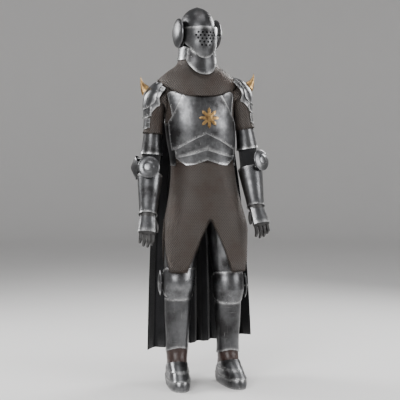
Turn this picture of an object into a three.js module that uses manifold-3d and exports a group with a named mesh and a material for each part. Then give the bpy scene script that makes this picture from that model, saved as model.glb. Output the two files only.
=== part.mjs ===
// A full suit of plate armour over mail, hollow, in its worn pose.
// Millimetres, +Z up. The suit faces -Y, and +X is the wearer's left. Heights in the tables
// below are above the ground; the finished group is lowered so that its origin lies between
// the shoulders, where a wearer carries it.
import * as THREE from 'three';
import { mergeVertices } from 'three/addons/utils/BufferGeometryUtils.js';
import loadManifold from 'manifold-3d';

const wasm = await loadManifold();
wasm.setup();

// Driving dimensions
const SHOULDER_HEIGHT = 1450;
const PLATE = 1.6;
const MAIL = 2.4;
const CLOTH = 2;
const LEATHER = 2.2;
const FIT = 0.5;
const EDGE_FIT = 1.1;
const SEAM = 0.4;
const SEAT_GAP = 0.3;
const TORSO_COLUMNS = 28;
const ARM_COLUMNS = 12;
const LEG_COLUMNS = 16;
const LAYER = PLATE + FIT;

// Colours and finishes
function metal(color, roughness) {
  return new THREE.MeshStandardMaterial({ color, roughness, metalness: 1 });
}

function cloth(color, roughness = 0.9) {
  return new THREE.MeshStandardMaterial({ color, roughness, metalness: 0 });
}

const steel = metal(0x8f9093, 0.32);
const darkSteel = metal(0x55565a, 0.42);
const gilt = metal(0xb98d55, 0.4);
const mail = metal(0x5d5450, 0.7);
const blackCloth = cloth(0x0c0c0e);
const blackLeather = cloth(0x141314, 0.6);
const bootLeather = cloth(0x2a1a17, 0.55);

const suit = new THREE.Group();

function addPart(name, geometry, material, parent = suit) {
  const mesh = new THREE.Mesh(geometry, material);
  mesh.name = name;
  parent.add(mesh);
  return mesh;
}

// Interpolates a table of [key, value] rows that is sorted by key.
function lookup(table, key) {
  if (key <= table[0][0]) return table[0][1];
  for (let row = 1; row < table.length; row += 1) {
    const [before, low] = table[row - 1];
    const [after, high] = table[row];
    if (key <= after) return low + ((high - low) * (key - before)) / (after - before);
  }
  return table[table.length - 1][1];
}

// The value of a table for a column counted either way from the front.
function mirrored(table) {
  return (column) => lookup(table, Math.abs(column));
}

const vector = (x, y, z) => new THREE.Vector3(x, y, z);
const UP = vector(0, 0, 1);
const FRONT = vector(0, -1, 0);
const SIDE = vector(1, 0, 0);

// Closed meshes
function weldedGeometry(positions, triangles) {
  const raw = new THREE.BufferGeometry();
  raw.setAttribute('position', new THREE.Float32BufferAttribute(positions, 3));
  raw.setIndex(triangles);
  const merged = mergeVertices(raw, 1e-4);
  const index = merged.index.array;
  const kept = [];
  for (let t = 0; t < index.length; t += 3) {
    const [a, b, c] = [index[t], index[t + 1], index[t + 2]];
    if (a !== b && b !== c && c !== a) kept.push(a, b, c);
  }
  if (signedVolume(merged.attributes.position, kept) < 0) kept.reverse();
  merged.setIndex(kept);
  merged.computeVertexNormals();
  return merged;
}

function signedVolume(position, index) {
  const [a, b, c] = [vector(0, 0, 0), vector(0, 0, 0), vector(0, 0, 0)];
  let total = 0;
  for (let t = 0; t < index.length; t += 3) {
    a.fromBufferAttribute(position, index[t]);
    b.fromBufferAttribute(position, index[t + 1]);
    c.fromBufferAttribute(position, index[t + 2]);
    total += a.dot(b.cross(c)) / 6;
  }
  return total;
}

// A wall between an outer and an inner grid of points. A closed grid runs on from its last
// column to its first. Rows that shrink to a point close the wall into a cap.
function wallBetween(outer, inner, closed) {
  const rows = outer.length;
  const columns = outer[0].length;
  const positions = [];
  for (const grid of [outer, inner]) {
    for (const row of grid) {
      for (const point of row) positions.push(point.x, point.y, point.z);
    }
  }
  const at = (side, row, column) => (side * rows + row) * columns + (column % columns);
  const triangles = [];
  const quad = (a, b, c, d) => triangles.push(a, b, c, a, c, d);
  const spans = closed ? columns : columns - 1;
  for (let row = 0; row < rows - 1; row += 1) {
    for (let c = 0; c < spans; c += 1) {
      quad(at(0, row, c), at(0, row, c + 1), at(0, row + 1, c + 1), at(0, row + 1, c));
      quad(at(1, row, c), at(1, row + 1, c), at(1, row + 1, c + 1), at(1, row, c + 1));
    }
    if (!closed) {
      const last = columns - 1;
      quad(at(0, row + 1, 0), at(1, row + 1, 0), at(1, row, 0), at(0, row, 0));
      quad(at(0, row, last), at(1, row, last), at(1, row + 1, last), at(0, row + 1, last));
    }
  }
  for (let c = 0; c < spans; c += 1) {
    const top = rows - 1;
    quad(at(0, 0, c), at(1, 0, c), at(1, 0, c + 1), at(0, 0, c + 1));
    quad(at(0, top, c + 1), at(1, top, c + 1), at(1, top, c), at(0, top, c));
  }
  return weldedGeometry(positions, triangles);
}

function middleOf(ring) {
  return ring.reduce((sum, point) => sum.add(point), vector(0, 0, 0)).divideScalar(ring.length);
}

// A solid body between rings of points, closed at both ends.
function plugOf(rings) {
  const columns = rings[0].length;
  const ends = [rings[0], rings.at(-1)].map((ring) => Array(columns).fill(middleOf(ring)));
  const all = [ends[0], ...rings, ends[1]];
  const positions = all.flat().flatMap((point) => [point.x, point.y, point.z]);
  const triangles = [];
  for (let row = 0; row < all.length - 1; row += 1) {
    for (let c = 0; c < columns; c += 1) {
      const [a, b] = [row * columns + c, row * columns + ((c + 1) % columns)];
      triangles.push(a, b, b + columns, a, b + columns, a + columns);
    }
  }
  return weldedGeometry(positions, triangles);
}

// Outward normals of a grid of points, from its neighbours along and across.
function gridNormals(grid, closed, outward) {
  const rows = grid.length;
  const columns = grid[0].length;
  return grid.map((row, r) => row.map((point, c) => {
    const before = closed ? (c + columns - 1) % columns : Math.max(c - 1, 0);
    const after = closed ? (c + 1) % columns : Math.min(c + 1, columns - 1);
    const around = row[after].clone().sub(row[before]);
    const above = grid[Math.min(r + 1, rows - 1)][c];
    const along = above.clone().sub(grid[Math.max(r - 1, 0)][c]);
    const normal = around.lengthSq() < 1e-6 ? outward(point).clone() : around.cross(along);
    if (normal.dot(outward(point)) < 0) normal.negate();
    return normal.normalize();
  }));
}

// A wall of one thickness inside a grid of outer points.
function wallInside(outer, wall, closed, outward) {
  const normals = gridNormals(outer, closed, outward);
  const inner = outer.map((row, r) => row.map(
    (point, c) => point.clone().addScaledVector(normals[r][c], -wall),
  ));
  return wallBetween(outer, inner, closed);
}

const signedPower = (value, power) => Math.sign(value) * Math.abs(value) ** power;

// One ring: column 0 is at the front, a quarter turn on is the side.
function ringPoints({ centre, side, front, a, f, b, power = 1 }, count) {
  return Array.from({ length: count }, (_, column) => {
    const angle = (2 * Math.PI * column) / count;
    const across = a * signedPower(Math.sin(angle), power);
    const forward = (Math.cos(angle) > 0 ? f : b) * signedPower(Math.cos(angle), power);
    return centre.clone().addScaledVector(side, across).addScaledVector(front, forward);
  });
}

// A body surface: rings at stations, with straight lines between them. Everything worn on it
// is made from its points, moved out, so layers follow each other.
class Surface {
  constructor(stations, count, points = stations.map((station) => ringPoints(station, count))) {
    this.count = count;
    this.stations = stations;
    this.points = points;
    this.normals = stations.map((station, r) => this.points[r].map((point, c) => {
      const row = this.points[r];
      const around = row[(c + 1) % count].clone().sub(row[(c + count - 1) % count]);
      const above = this.points[Math.min(r + 1, stations.length - 1)][c];
      const along = above.clone().sub(this.points[Math.max(r - 1, 0)][c]);
      const outward = point.clone().sub(station.centre);
      const normal = around.lengthSq() < 1e-6 ? along : around.cross(along);
      if (around.lengthSq() >= 1e-6 && normal.dot(outward) < 0) normal.negate();
      return normal.normalize();
    }));
  }

  // Blends a grid's values on the flat facets: each square is split from its first corner.
  onFacet(grid, next, whole, across, up) {
    const wrapped = (c) => ((c % this.count) + this.count) % this.count;
    const [here, beyond] = [wrapped(whole), wrapped(whole + 1)];
    const [a, b] = [grid[next - 1][here], grid[next - 1][beyond]];
    const [d, c] = [grid[next][here], grid[next][beyond]];
    const value = a.clone();
    if (across >= up) return value.addScaledVector(b, across).addScaledVector(a, -across)
      .addScaledVector(c, up).addScaledVector(b, -up);
    return value.addScaledVector(d, up).addScaledVector(a, -up)
      .addScaledVector(c, across).addScaledVector(d, -across);
  }

  point(column, s, off = 0) {
    let next = 1;
    while (next < this.stations.length - 1 && this.stations[next].s < s) next += 1;
    const [before, after] = [this.stations[next - 1].s, this.stations[next].s];
    const whole = Math.floor(column);
    const place = [next, whole, column - whole, (s - before) / (after - before)];
    const normal = this.onFacet(this.normals, ...place);
    return this.onFacet(this.points, ...place).addScaledVector(normal, off);
  }

  ring(s, off = 0) {
    return Array.from({ length: this.count }, (_, column) => this.point(column, s, off));
  }

  // The same surface moved out by a distance for each station.
  grown(offs) {
    const points = this.stations.map(({ s }) => this.ring(s, lookup(offs, s)));
    return new Surface(this.stations, this.count, points);
  }
}

const asFunction = (value) => (typeof value === 'function' ? value : () => value);

function steps(first, last, step = 1) {
  const list = [first];
  const start = Math.floor(first / step + 1) * step;
  for (let value = start; value < last - 1e-6; value += step) list.push(value);
  list.push(last);
  return list;
}

// A band of wall worn on a surface between two edges. The edges, the clearance under the band
// and its thickness are numbers or functions of the column (and the station).
function bandOn(surface, { from, to, step = 1, bottom, top, rows = [], inner = FIT, wall = PLATE }) {
  const closed = from === undefined;
  const columns = closed ? steps(0, surface.count - 1) : steps(from, to, step);
  const [low, high, clearance, thickness] = [bottom, top, inner, wall].map(asFunction);
  const lowest = Math.min(...columns.map(low));
  const highest = Math.max(...columns.map(high));
  const levels = [...surface.stations.map((station) => station.s), ...rows]
    .filter((s) => s > lowest && s < highest)
    .sort((one, other) => one - other);
  const heights = (column) => {
    const [start, end] = [low(column), high(column)];
    return [start, ...levels.map((s) => Math.min(Math.max(s, start), end)), end];
  };
  const grids = [true, false].map((outside) => {
    const byColumn = columns.map((column) => heights(column).map((s) => {
      const off = clearance(column, s) + (outside ? thickness(column, s) : 0);
      return surface.point(column, s, off);
    }));
    return byColumn[0].map((_, row) => byColumn.map((points) => points[row]));
  });
  return wallBetween(grids[0], grids[1], closed);
}

// Solid joins and cuts
function solidOf(geometry) {
  const bare = geometry.clone();
  bare.deleteAttribute('normal');
  bare.deleteAttribute('uv');
  const merged = mergeVertices(bare, 1e-4);
  const vertProperties = new Float32Array(merged.attributes.position.array);
  const triVerts = new Uint32Array(merged.index.array);
  return new wasm.Manifold(new wasm.Mesh({ numProp: 3, vertProperties, triVerts }));
}

// The largest body of a solid, so that no sliver of a cut stays beside it.
function geometryOf(solid) {
  const bodies = solid.decompose().sort((one, other) => other.volume() - one.volume());
  const { vertProperties, triVerts } = bodies[0].getMesh();
  return weldedGeometry(Array.from(vertProperties), Array.from(triVerts));
}

function cut(geometry, cutters) {
  const start = solidOf(geometry);
  return geometryOf(cutters.reduce((body, cutter) => body.subtract(solidOf(cutter)), start));
}

function join(geometries) {
  return geometryOf(geometries.map(solidOf).reduce((body, piece) => body.add(piece)));
}

// A round bar from one point to another.
function bar(start, end, radius, sides = 6, endRadius = radius) {
  const axis = end.clone().sub(start);
  const geometry = new THREE.CylinderGeometry(endRadius, radius, axis.length(), sides);
  const turn = new THREE.Quaternion();
  turn.setFromUnitVectors(vector(0, 1, 0), axis.clone().normalize());
  geometry.applyQuaternion(turn);
  const middle = start.clone().add(end).multiplyScalar(0.5);
  return geometry.translate(middle.x, middle.y, middle.z);
}

// How far a piece lies from a point, looking along a direction.
function reach(point, direction, meshes) {
  for (const mesh of meshes) {
    mesh.material.side = THREE.DoubleSide;
    mesh.geometry.computeBoundingSphere();
  }
  const hits = new THREE.Raycaster(point, direction.clone().normalize()).intersectObjects(meshes, false);
  for (const mesh of meshes) mesh.material.side = THREE.FrontSide;
  if (hits.length === 0) throw new Error('nothing to seat on');
  return hits[0].distance;
}

// A rivet's shank from inside a plate to just short of the piece that carries it.
function shank(point, direction, carriers, radius = 4) {
  const across = direction.clone().cross(Math.abs(direction.z) < 0.9 ? UP : FRONT).normalize();
  const round = [0, 1, 2, 3, 4, 5].map((corner) => {
    const spoke = across.clone().applyAxisAngle(direction, (corner * Math.PI) / 3);
    return point.clone().addScaledVector(spoke, radius);
  });
  const distances = [point, ...round].map((start) => reach(start, direction, carriers));
  const length = Math.min(...distances) - SEAT_GAP;
  return bar(point, point.clone().addScaledVector(direction, length), radius);
}

// A dished plate: rings that shrink from a rim to a peak. The profile's rows give the share of
// the rim's radius and the height over it.
function dish({ centre, across, along, radius, tall = radius, profile, wall = PLATE, bend = 0, count }) {
  const facing = across.clone().cross(along).normalize();
  const rings = profile.map(([share, height]) => Array.from({ length: count }, (_, c) => {
    const angle = (2 * Math.PI * c) / count;
    const [u, v] = [share * Math.cos(angle), share * Math.sin(angle)];
    return centre.clone()
      .addScaledVector(across, radius * u)
      .addScaledVector(along, tall * v)
      .addScaledVector(facing, height - bend * v * v);
  }));
  const inner = rings.map((ring) => ring.map((point) => point.clone().addScaledVector(facing, -wall)));
  return wallBetween(rings, inner, true);
}

// Trunk: the mail's outer surface. Rows: height, half width, depth in front, depth behind.
const SWAY = [
  [0, 34], [500, 32], [800, 33], [1000, 24], [1100, 20], [1200, 12], [1300, 4], [1450, -6], [1600, -10],
];
const TRUNK_ROWS = [
  [565, 204, 124, 118], [700, 215, 137, 127], [780, 213, 140, 127], [840, 200, 138, 124],
  [980, 165, 127, 110], [1104, 158, 119, 98],
  [1235, 172, 138, 104], [1300, 171, 141, 112], [1360, 174, 134, 118],
  [1450, 194, 110, 110], [1480, 196, 102, 98], [1503, 187, 97, 90],
  [1545, 136, 85, 80], [1565, 96, 80, 78], [1600, 82, 77, 76],
];
const SQUARENESS = [[565, 0.72], [780, 0.8], [980, 0.9], [1104, 0.94]];
const SEAM_HEIGHT = 1104;
const HAUBERK_TOP = 1500;

const trunk = new Surface(TRUNK_ROWS.map(([s, a, f, b]) => ({
  s, a, f, b, side: SIDE, front: FRONT, power: lookup(SQUARENESS, s), centre: vector(lookup(SWAY, s), 0, s),
})), TORSO_COLUMNS);

const FRONT_COLUMN_OF_BACK = TORSO_COLUMNS / 2;
const fromBack = (column) => FRONT_COLUMN_OF_BACK - Math.abs(FRONT_COLUMN_OF_BACK - Math.abs(column));

// Arms. The path runs from inside the armhole over the shoulder to the elbow, and on to the hand.
const ARMS = {
  right: {
    sign: -1, shoulder: vector(-218, 0, 1400), elbow: vector(-240, 5, 1075), wrist: vector(-272, -110, 850),
    knuckles: vector(-284, -160, 765), discTurn: -14, discOut: 90, discDrop: -14,
  },
  left: {
    sign: 1, shoulder: vector(212, 0, 1425), elbow: vector(258, 0, 1103), wrist: vector(264, -110, 884),
    knuckles: vector(280, -158, 798), discTurn: 35, discOut: 82, discDrop: -8,
  },
};

// Rows: station, offset outward and up from the shoulder, tilt of the ring, half width, depth.
const SHOULDER_ROWS = [
  [-90, -80, 2, 90, 58, 54], [-60, -50, 4, 90, 60, 58], [-30, -26, 10, 62, 59, 60],
  [0, -4, 4, 32, 54, 58], [35, 2, -25, 11, 49, 55],
];
// Rows: station along the upper arm from the shoulder, half width, depth.
const UPPER_ARM_ROWS = [[90, 44, 50], [150, 44, 49], [205, 47, 50], [245, 51, 51], [262, 56, 54]];
// Rows: station along the forearm as a share of its length, half width, depth.
const FOREARM_ROWS = [[0.16, 62, 55], [0.3, 60, 53], [0.65, 50, 45], [0.93, 42, 39], [1.0, 45, 41]];
// Rows: station from the wrist as a share of the hand's length, half width, depth.
const HAND_ROWS = [[0.1, 37, 27], [1.0, 43, 20], [1.1, 0, 0]];
const CUFF_ROWS = [[-0.2, 0.86], [-0.1, 0.93], [-0.03, 0.98]];

function limbFrame(start, end, sign) {
  const along = end.clone().sub(start).normalize();
  const side = vector(sign, 0, 0);
  side.addScaledVector(along, -side.dot(along)).normalize();
  const front = side.clone().cross(along).multiplyScalar(sign).normalize();
  if (front.dot(FRONT) < 0) front.negate();
  return { along, side, front };
}

function limbSurface(start, end, sign, rows, unit) {
  const { side, front } = limbFrame(start, end, sign);
  const length = start.distanceTo(end);
  return new Surface(rows.map(([s, a, depth]) => ({
    s, a, f: depth, b: depth, side, front, centre: start.clone().lerp(end, unit ? s : s / length),
  })), ARM_COLUMNS);
}

// The hand's surface starts as the end of the forearm's, so the glove's cuff fills the vambrace.
function handSurface({ wrist, knuckles, elbow, sign }, forearm) {
  const palm = limbSurface(wrist, knuckles, sign, HAND_ROWS, true);
  const cuff = CUFF_ROWS.map(([s, share]) => ({ s, share, centre: elbow.clone().lerp(wrist, share) }));
  const rings = [...cuff.map(({ share }) => forearm.ring(share)), ...palm.points];
  return new Surface([...cuff, ...palm.stations], ARM_COLUMNS, rings);
}

function upperArmSurface({ shoulder, elbow, sign }) {
  const { side, front } = limbFrame(shoulder, elbow, sign);
  const length = shoulder.distanceTo(elbow);
  const top = SHOULDER_ROWS.map(([s, out, up, tilt, a, depth]) => {
    const angle = THREE.MathUtils.degToRad(tilt);
    return {
      s, a, f: depth, b: depth, front: FRONT,
      centre: shoulder.clone().add(vector(sign * out, 0, up)),
      side: vector(sign * Math.cos(angle), 0, Math.sin(angle)),
    };
  });
  const rest = UPPER_ARM_ROWS.map(([s, a, depth]) => ({
    s, a, f: depth, b: depth, side, front, centre: shoulder.clone().lerp(elbow, s / length),
  }));
  return new Surface([...top, ...rest], ARM_COLUMNS);
}

// Mail
const MANTLE_INNER = 2 * LAYER + 2 * EDGE_FIT;
const MANTLE_OUTER = MANTLE_INNER + MAIL;
const SLEEVE_INNER = FIT + PLATE + FIT;
const SLEEVE_TOP = -60;
const SLEEVE_HEM = 158;
const ARMHOLE_END = 90;

function armholeRings(surface) {
  const stations = surface.stations.map(({ s }) => s).filter((s) => s <= ARMHOLE_END);
  return stations.map((s) => surface.ring(s, SLEEVE_INNER + MAIL + SEAM));
}

function addMail(arms) {
  const body = bandOn(trunk, { bottom: SEAM_HEIGHT + SEAM, top: HAUBERK_TOP, inner: -MAIL, wall: MAIL });
  const holes = arms.map(({ surface }) => plugOf(armholeRings(surface)));
  addPart('hauberk_body', cut(body, holes), mail);
  addPart('hauberk_skirt', mailSkirt(), mail);
  for (const { name, surface } of arms) {
    const sleeve = bandOn(surface, {
      bottom: SLEEVE_TOP, top: SLEEVE_HEM, inner: SLEEVE_INNER, wall: MAIL,
    });
    addPart(`sleeve_${name}`, sleeve, mail);
  }
  addPart('mail_mantle', mailMantle(), mail);
}

// Skirt: the hem rises to a slit in front, at each side and behind, so it hangs as four lappets.
const SKIRT_HEM = [
  [0, 833], [1, 692], [2, 567], [3, 565], [5, 567], [6, 655], [7, 825], [8, 655], [9, 575], [12, 575],
  [13, 700], [14, 833],
];
// The largest crease crosses each front lappet from the side point towards the middle.
const CREASE = {
  sideColumn: 5.6, sideHeight: 790, middleColumn: 1.2, middleHeight: 728, width: 24, height: 7, fade: 0.6,
};
const CREASE_ROWS = [745];

function skirtCrease(column, s) {
  const { sideColumn, sideHeight, middleColumn, middleHeight, width, height, fade } = CREASE;
  const fromFront = Math.min(column, TORSO_COLUMNS - column);
  if (fromFront > sideColumn + 0.5 || fromFront < middleColumn) return 0;
  const share = (sideColumn - fromFront) / (sideColumn - middleColumn);
  const line = sideHeight + (middleHeight - sideHeight) * share;
  return height * Math.exp(-(((s - line) / width) ** 2)) * (1 - fade * share);
}

function mailSkirt() {
  const hem = (column) => lookup(SKIRT_HEM, Math.min(column, TORSO_COLUMNS - column));
  return bandOn(trunk, {
    bottom: hem,
    top: SEAM_HEIGHT,
    rows: CREASE_ROWS,
    inner: (c, s) => skirtCrease(c, s) - MAIL,
    wall: MAIL,
  });
}

// Mantle: round the neck, over the shoulders, and down in a bib at the front and back.
const MANTLE_HEM = [[0, 1416], [2, 1424], [3, 1440], [4, 1458], [5, 1476], [6, 1492], [7, 1500]];
const MANTLE_TOP = 1600;
const MANTLE_FOLD = { height: 1480, width: 9, depth: 4, lastColumn: 3 };

function mailMantle() {
  const hem = (column) => lookup(MANTLE_HEM, fromBackOrFront(column));
  const fold = (column, s) => {
    if (Math.min(column, TORSO_COLUMNS - column) > MANTLE_FOLD.lastColumn) return 0;
    return MANTLE_FOLD.depth * Math.exp(-(((s - MANTLE_FOLD.height) / MANTLE_FOLD.width) ** 2));
  };
  return bandOn(trunk, {
    bottom: hem,
    top: MANTLE_TOP,
    inner: (c, s) => MANTLE_INNER + fold(c, s),
    wall: MAIL,
  });
}

function fromBackOrFront(column) {
  const fromFront = Math.min(column, TORSO_COLUMNS - column);
  return Math.min(fromFront, FRONT_COLUMN_OF_BACK - fromFront);
}

// Trunk plates. Tables give a height for each column counted from the front.
const BREAST_EDGE = 5.4;
const BREAST_TOP = mirrored([[0, 1442], [2, 1442], [3, 1388], [4, 1340], [5, 1306], [5.4, 1300]]);
const BREAST_BOTTOM = mirrored([[0, 1240], [2, 1202], [4, 1166], [5.4, 1160]]);
const LAME_EDGE = 4.7;
const UPPER_LAME_BOTTOM = mirrored([[0, 1161], [2, 1138], [4, 1124], [4.7, 1126]]);
const LOWER_LAME_BOTTOM = mirrored([
  [0, 1113], [1, 1100], [2.4, 1084], [3, 1088], [4, 1108], [4.7, 1120],
]);
const GUSSET_EDGES = [2, 4.5];
const GUSSET_BOTTOM = mirrored([[2, 1420], [3, 1366], [4, 1320], [4.7, 1308]]);
const GUSSET_TOP = mirrored([[2, 1446], [4, 1443], [4.7, 1425]]);
const BACK_EDGE = 4.9;
const BACK_BOTTOM = 1086;
const BACK_TOP = [[4.9, 1292], [8, 1292], [9, 1335], [10, 1405], [11, 1445], [14, 1450]];
const LAME_OVERLAP = 18;
// Clearance under the breastplate, by the height over its lower edge.
const BREAST_LAYERS = [[30, 2 * LAYER + FIT], [110, LAYER + 2 * EDGE_FIT - 0.3]];

function breastInner(column, s) {
  return lookup(BREAST_LAYERS, s - BREAST_BOTTOM(column));
}

function addTrunkPlates() {
  addPart('breastplate', bandOn(trunk, {
    from: -BREAST_EDGE, to: BREAST_EDGE, bottom: BREAST_BOTTOM, top: BREAST_TOP, inner: breastInner,
  }), steel);
  addPart('waist_lame_upper', bandOn(trunk, {
    from: -LAME_EDGE,
    to: LAME_EDGE,
    bottom: UPPER_LAME_BOTTOM,
    top: (c) => BREAST_BOTTOM(c) + LAME_OVERLAP,
    inner: LAYER + FIT,
  }), steel);
  addPart('waist_lame_lower', bandOn(trunk, {
    from: -LAME_EDGE,
    to: LAME_EDGE,
    bottom: LOWER_LAME_BOTTOM,
    top: (c) => UPPER_LAME_BOTTOM(c) + LAME_OVERLAP,
  }), steel);
  for (const [name, sign] of [['right', -1], ['left', 1]]) {
    const [near, far] = GUSSET_EDGES.map((edge) => edge * sign).sort((one, other) => one - other);
    addPart(`breast_gusset_${name}`, bandOn(trunk, {
      from: near, to: far, bottom: GUSSET_BOTTOM, top: GUSSET_TOP, step: 0.5, inner: EDGE_FIT,
    }), steel);
  }
  const backTop = (column) => lookup(BACK_TOP, fromBack(column));
  addPart('backplate', bandOn(trunk, {
    from: BACK_EDGE, to: TORSO_COLUMNS - BACK_EDGE, bottom: BACK_BOTTOM, top: backTop, inner: EDGE_FIT,
  }), darkSteel);
  addPart('chest_rosette', rosette(), gilt);
}

// Rosette: a domed boss in eight petals, laid on the breastplate's middle.
const ROSETTE = {
  height: 1315, column: 0.45, petals: 8, inner: 19, shoulder: 40, outer: 50, thick: 5,
  boss: 15, bossTop: 10.5, bossThick: 8, bossRoot: 20,
};
const CHEST_BLOCK = { edge: 4, bottom: 1248, top: 1400, deep: 20 };

// A solid that fills the trunk out to a distance from the breastplate's face.
function chestBlock(extra) {
  const { edge, bottom, top, deep } = CHEST_BLOCK;
  const wall = (column, s) => breastInner(column, s) + PLATE + extra + deep;
  return solidOf(bandOn(trunk, { from: -edge, to: edge, bottom, top, inner: -deep, wall }));
}

function rosette() {
  const { height, column, petals, inner, shoulder, outer, thick, boss, bossTop, bossThick } = ROSETTE;
  const middle = trunk.point(column, height, breastInner(column, height) + PLATE);
  const radii = [outer, shoulder, inner, shoulder];
  const corners = Array.from({ length: petals * radii.length }, (_, corner) => {
    const angle = (2 * Math.PI * corner) / (petals * radii.length);
    const radius = radii[corner % radii.length];
    return new THREE.Vector2(radius * Math.sin(angle), radius * Math.cos(angle));
  });
  const depth = 3 * ROSETTE.bossRoot;
  const petalPlate = new THREE.ExtrudeGeometry(new THREE.Shape(corners), { depth, bevelEnabled: false });
  petalPlate.rotateX(Math.PI / 2);
  petalPlate.translate(middle.x, middle.y + depth - thick, middle.z);
  const root = middle.clone().add(vector(0, ROSETTE.bossRoot, 0));
  const top = middle.clone().add(vector(0, -bossThick, 0));
  const petalSolid = solidOf(petalPlate).intersect(chestBlock(thick));
  const whole = petalSolid.add(solidOf(bar(root, top, boss, 12, bossTop)));
  return geometryOf(whole.subtract(chestBlock(SEAT_GAP)));
}

// Helmet, in its own frame about the visor's pivot line.
const HELMET = { x: -8, height: 1731, turn: 9, wall: PLATE + 0.4 };
const SKULL_TOP = 131;
const SKULL_ROWS = [
  [-206, 110, 110, 94], [-170, 104, 102, 98], [-131, 94, 98, 105], [-100, 88, 102, 106], [-60, 88, 112, 112],
  [-20, 88, 120, 120], [40, 84, 115, 119], [70, 75, 102, 108], [95, 61, 82, 90], [117, 38, 50, 58],
  [SKULL_TOP, 0, 0, 0],
];
const FACE_EDGE = [[0, 12], [4, 10], [5, -10], [6, -74], [14, -76]];
const BEVOR_EDGE = 4;
const BEVOR_TOP = mirrored([[0, -104], [2, -100], [3.5, -84], [4, -76]]);
const BEVOR_BOTTOM = mirrored([[0, -206], [1, -203], [2, -190], [3, -164], [4, -140]]);
const BEVOR_INNER = LAYER + FIT + 0.3;
const GUARD_EDGE = 2.6;
const GUARD_TOP = [[2.6, -84], [6, -62], [14, -62]];
const GUARD_BOTTOM = [[2.6, -120], [4, -131], [14, -128]];
const VISOR = {
  radius: 133.5, halfWidth: 93.5, chinAngle: 15, chinSpan: 35, chinPower: 1.6, chinGrowth: 31,
  side: 78, step: 13,
};
const PIVOT = { pin: 4, hole: 4.7, holeStart: 80, holeEnd: 110, lug: 31, lugOut: 2.2, lugIn: 0.3 };
const VISOR_TOP = [[0, 10], [30, 11], [60, 18], [78, 48]];
const VISOR_BOTTOM = [[0, -50], [15, -49], [30, -45], [45, -42], [60, -44], [78, -52]];
const VISOR_SHARES = [0, 0.25, 0.5, 0.75, 1];
// Breaths: rows of the angle below the pivot line, the first hole's angle across, and the count.
const BREATH_ROWS = [[2, -24, 5], [8.5, -30, 6], [15, -24, 5], [21.5, -18, 4], [28, -12, 3]];
const BREATH = { pitch: 12, radius: 5, inward: 12, outward: 14, sides: 4 };
const EAR_DISC = { radius: 74, profile: [[1, 0], [0.95, 6], [0.6, 17.5], [0, 22.5]], count: 14 };
const EAR_DISC_RIM = 98;
const EAR_PIN_HEAD = 21.5;

function visorPoint(across, up, off) {
  const { radius, halfWidth, chinAngle, chinSpan, chinPower, chinGrowth } = VISOR;
  const chin = Math.max(0, (-up - chinAngle) / chinSpan) ** chinPower * chinGrowth;
  const [lambda, theta] = [across, up].map(THREE.MathUtils.degToRad);
  const round = (radius + chin + off) * Math.cos(lambda);
  return vector((halfWidth + off) * Math.sin(lambda), -round * Math.cos(theta), round * Math.sin(theta));
}

function visorGeometry() {
  const across = steps(-VISOR.side, VISOR.side, VISOR.step);
  const grid = (off) => VISOR_SHARES.map((share) => across.map((angle) => {
    const bottom = lookup(VISOR_BOTTOM, Math.abs(angle));
    const top = lookup(VISOR_TOP, Math.abs(angle));
    return visorPoint(angle, bottom + (top - bottom) * share, off);
  }));
  const shell = wallBetween(grid(HELMET.wall), grid(0), false);
  const atSide = (side, distance) => vector(side * distance, 0, 0);
  const edge = visorPoint(VISOR.side, 0, 0).x;
  const lugs = [-1, 1].map((side) => (
    bar(atSide(side, edge - PIVOT.lugIn), atSide(side, edge + PIVOT.lugOut), PIVOT.lug, 10)
  ));
  const pinHoles = [-1, 1].map((side) => (
    bar(atSide(side, PIVOT.holeStart), atSide(side, PIVOT.holeEnd), PIVOT.hole, 8)
  ));
  const breaths = BREATH_ROWS.flatMap(([down, first, count]) => (
    Array.from({ length: count }, (_, hole) => {
      const angle = first + hole * BREATH.pitch;
      const start = visorPoint(angle, -down, -BREATH.inward);
      return bar(start, visorPoint(angle, -down, BREATH.outward), BREATH.radius, BREATH.sides);
    })
  ));
  return cut(join([shell, ...lugs]), [...pinHoles, ...breaths]);
}

// A round disc over the visor's lug. Its pin runs through the lug and stops at the skull.
function earDisc(side, skull) {
  const centre = vector(side * EAR_DISC_RIM, 0, 0);
  const plate = dish({ centre, across: vector(0, side, 0), along: UP, wall: HELMET.wall, ...EAR_DISC });
  const start = centre.clone().add(vector(side * EAR_PIN_HEAD, 0, 0));
  const inward = vector(-side, 0, 0);
  const tip = start.clone().addScaledVector(inward, reach(start, inward, [skull]) - SEAT_GAP);
  return join([plate, bar(start, tip, PIVOT.pin, 8)]);
}

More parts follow.
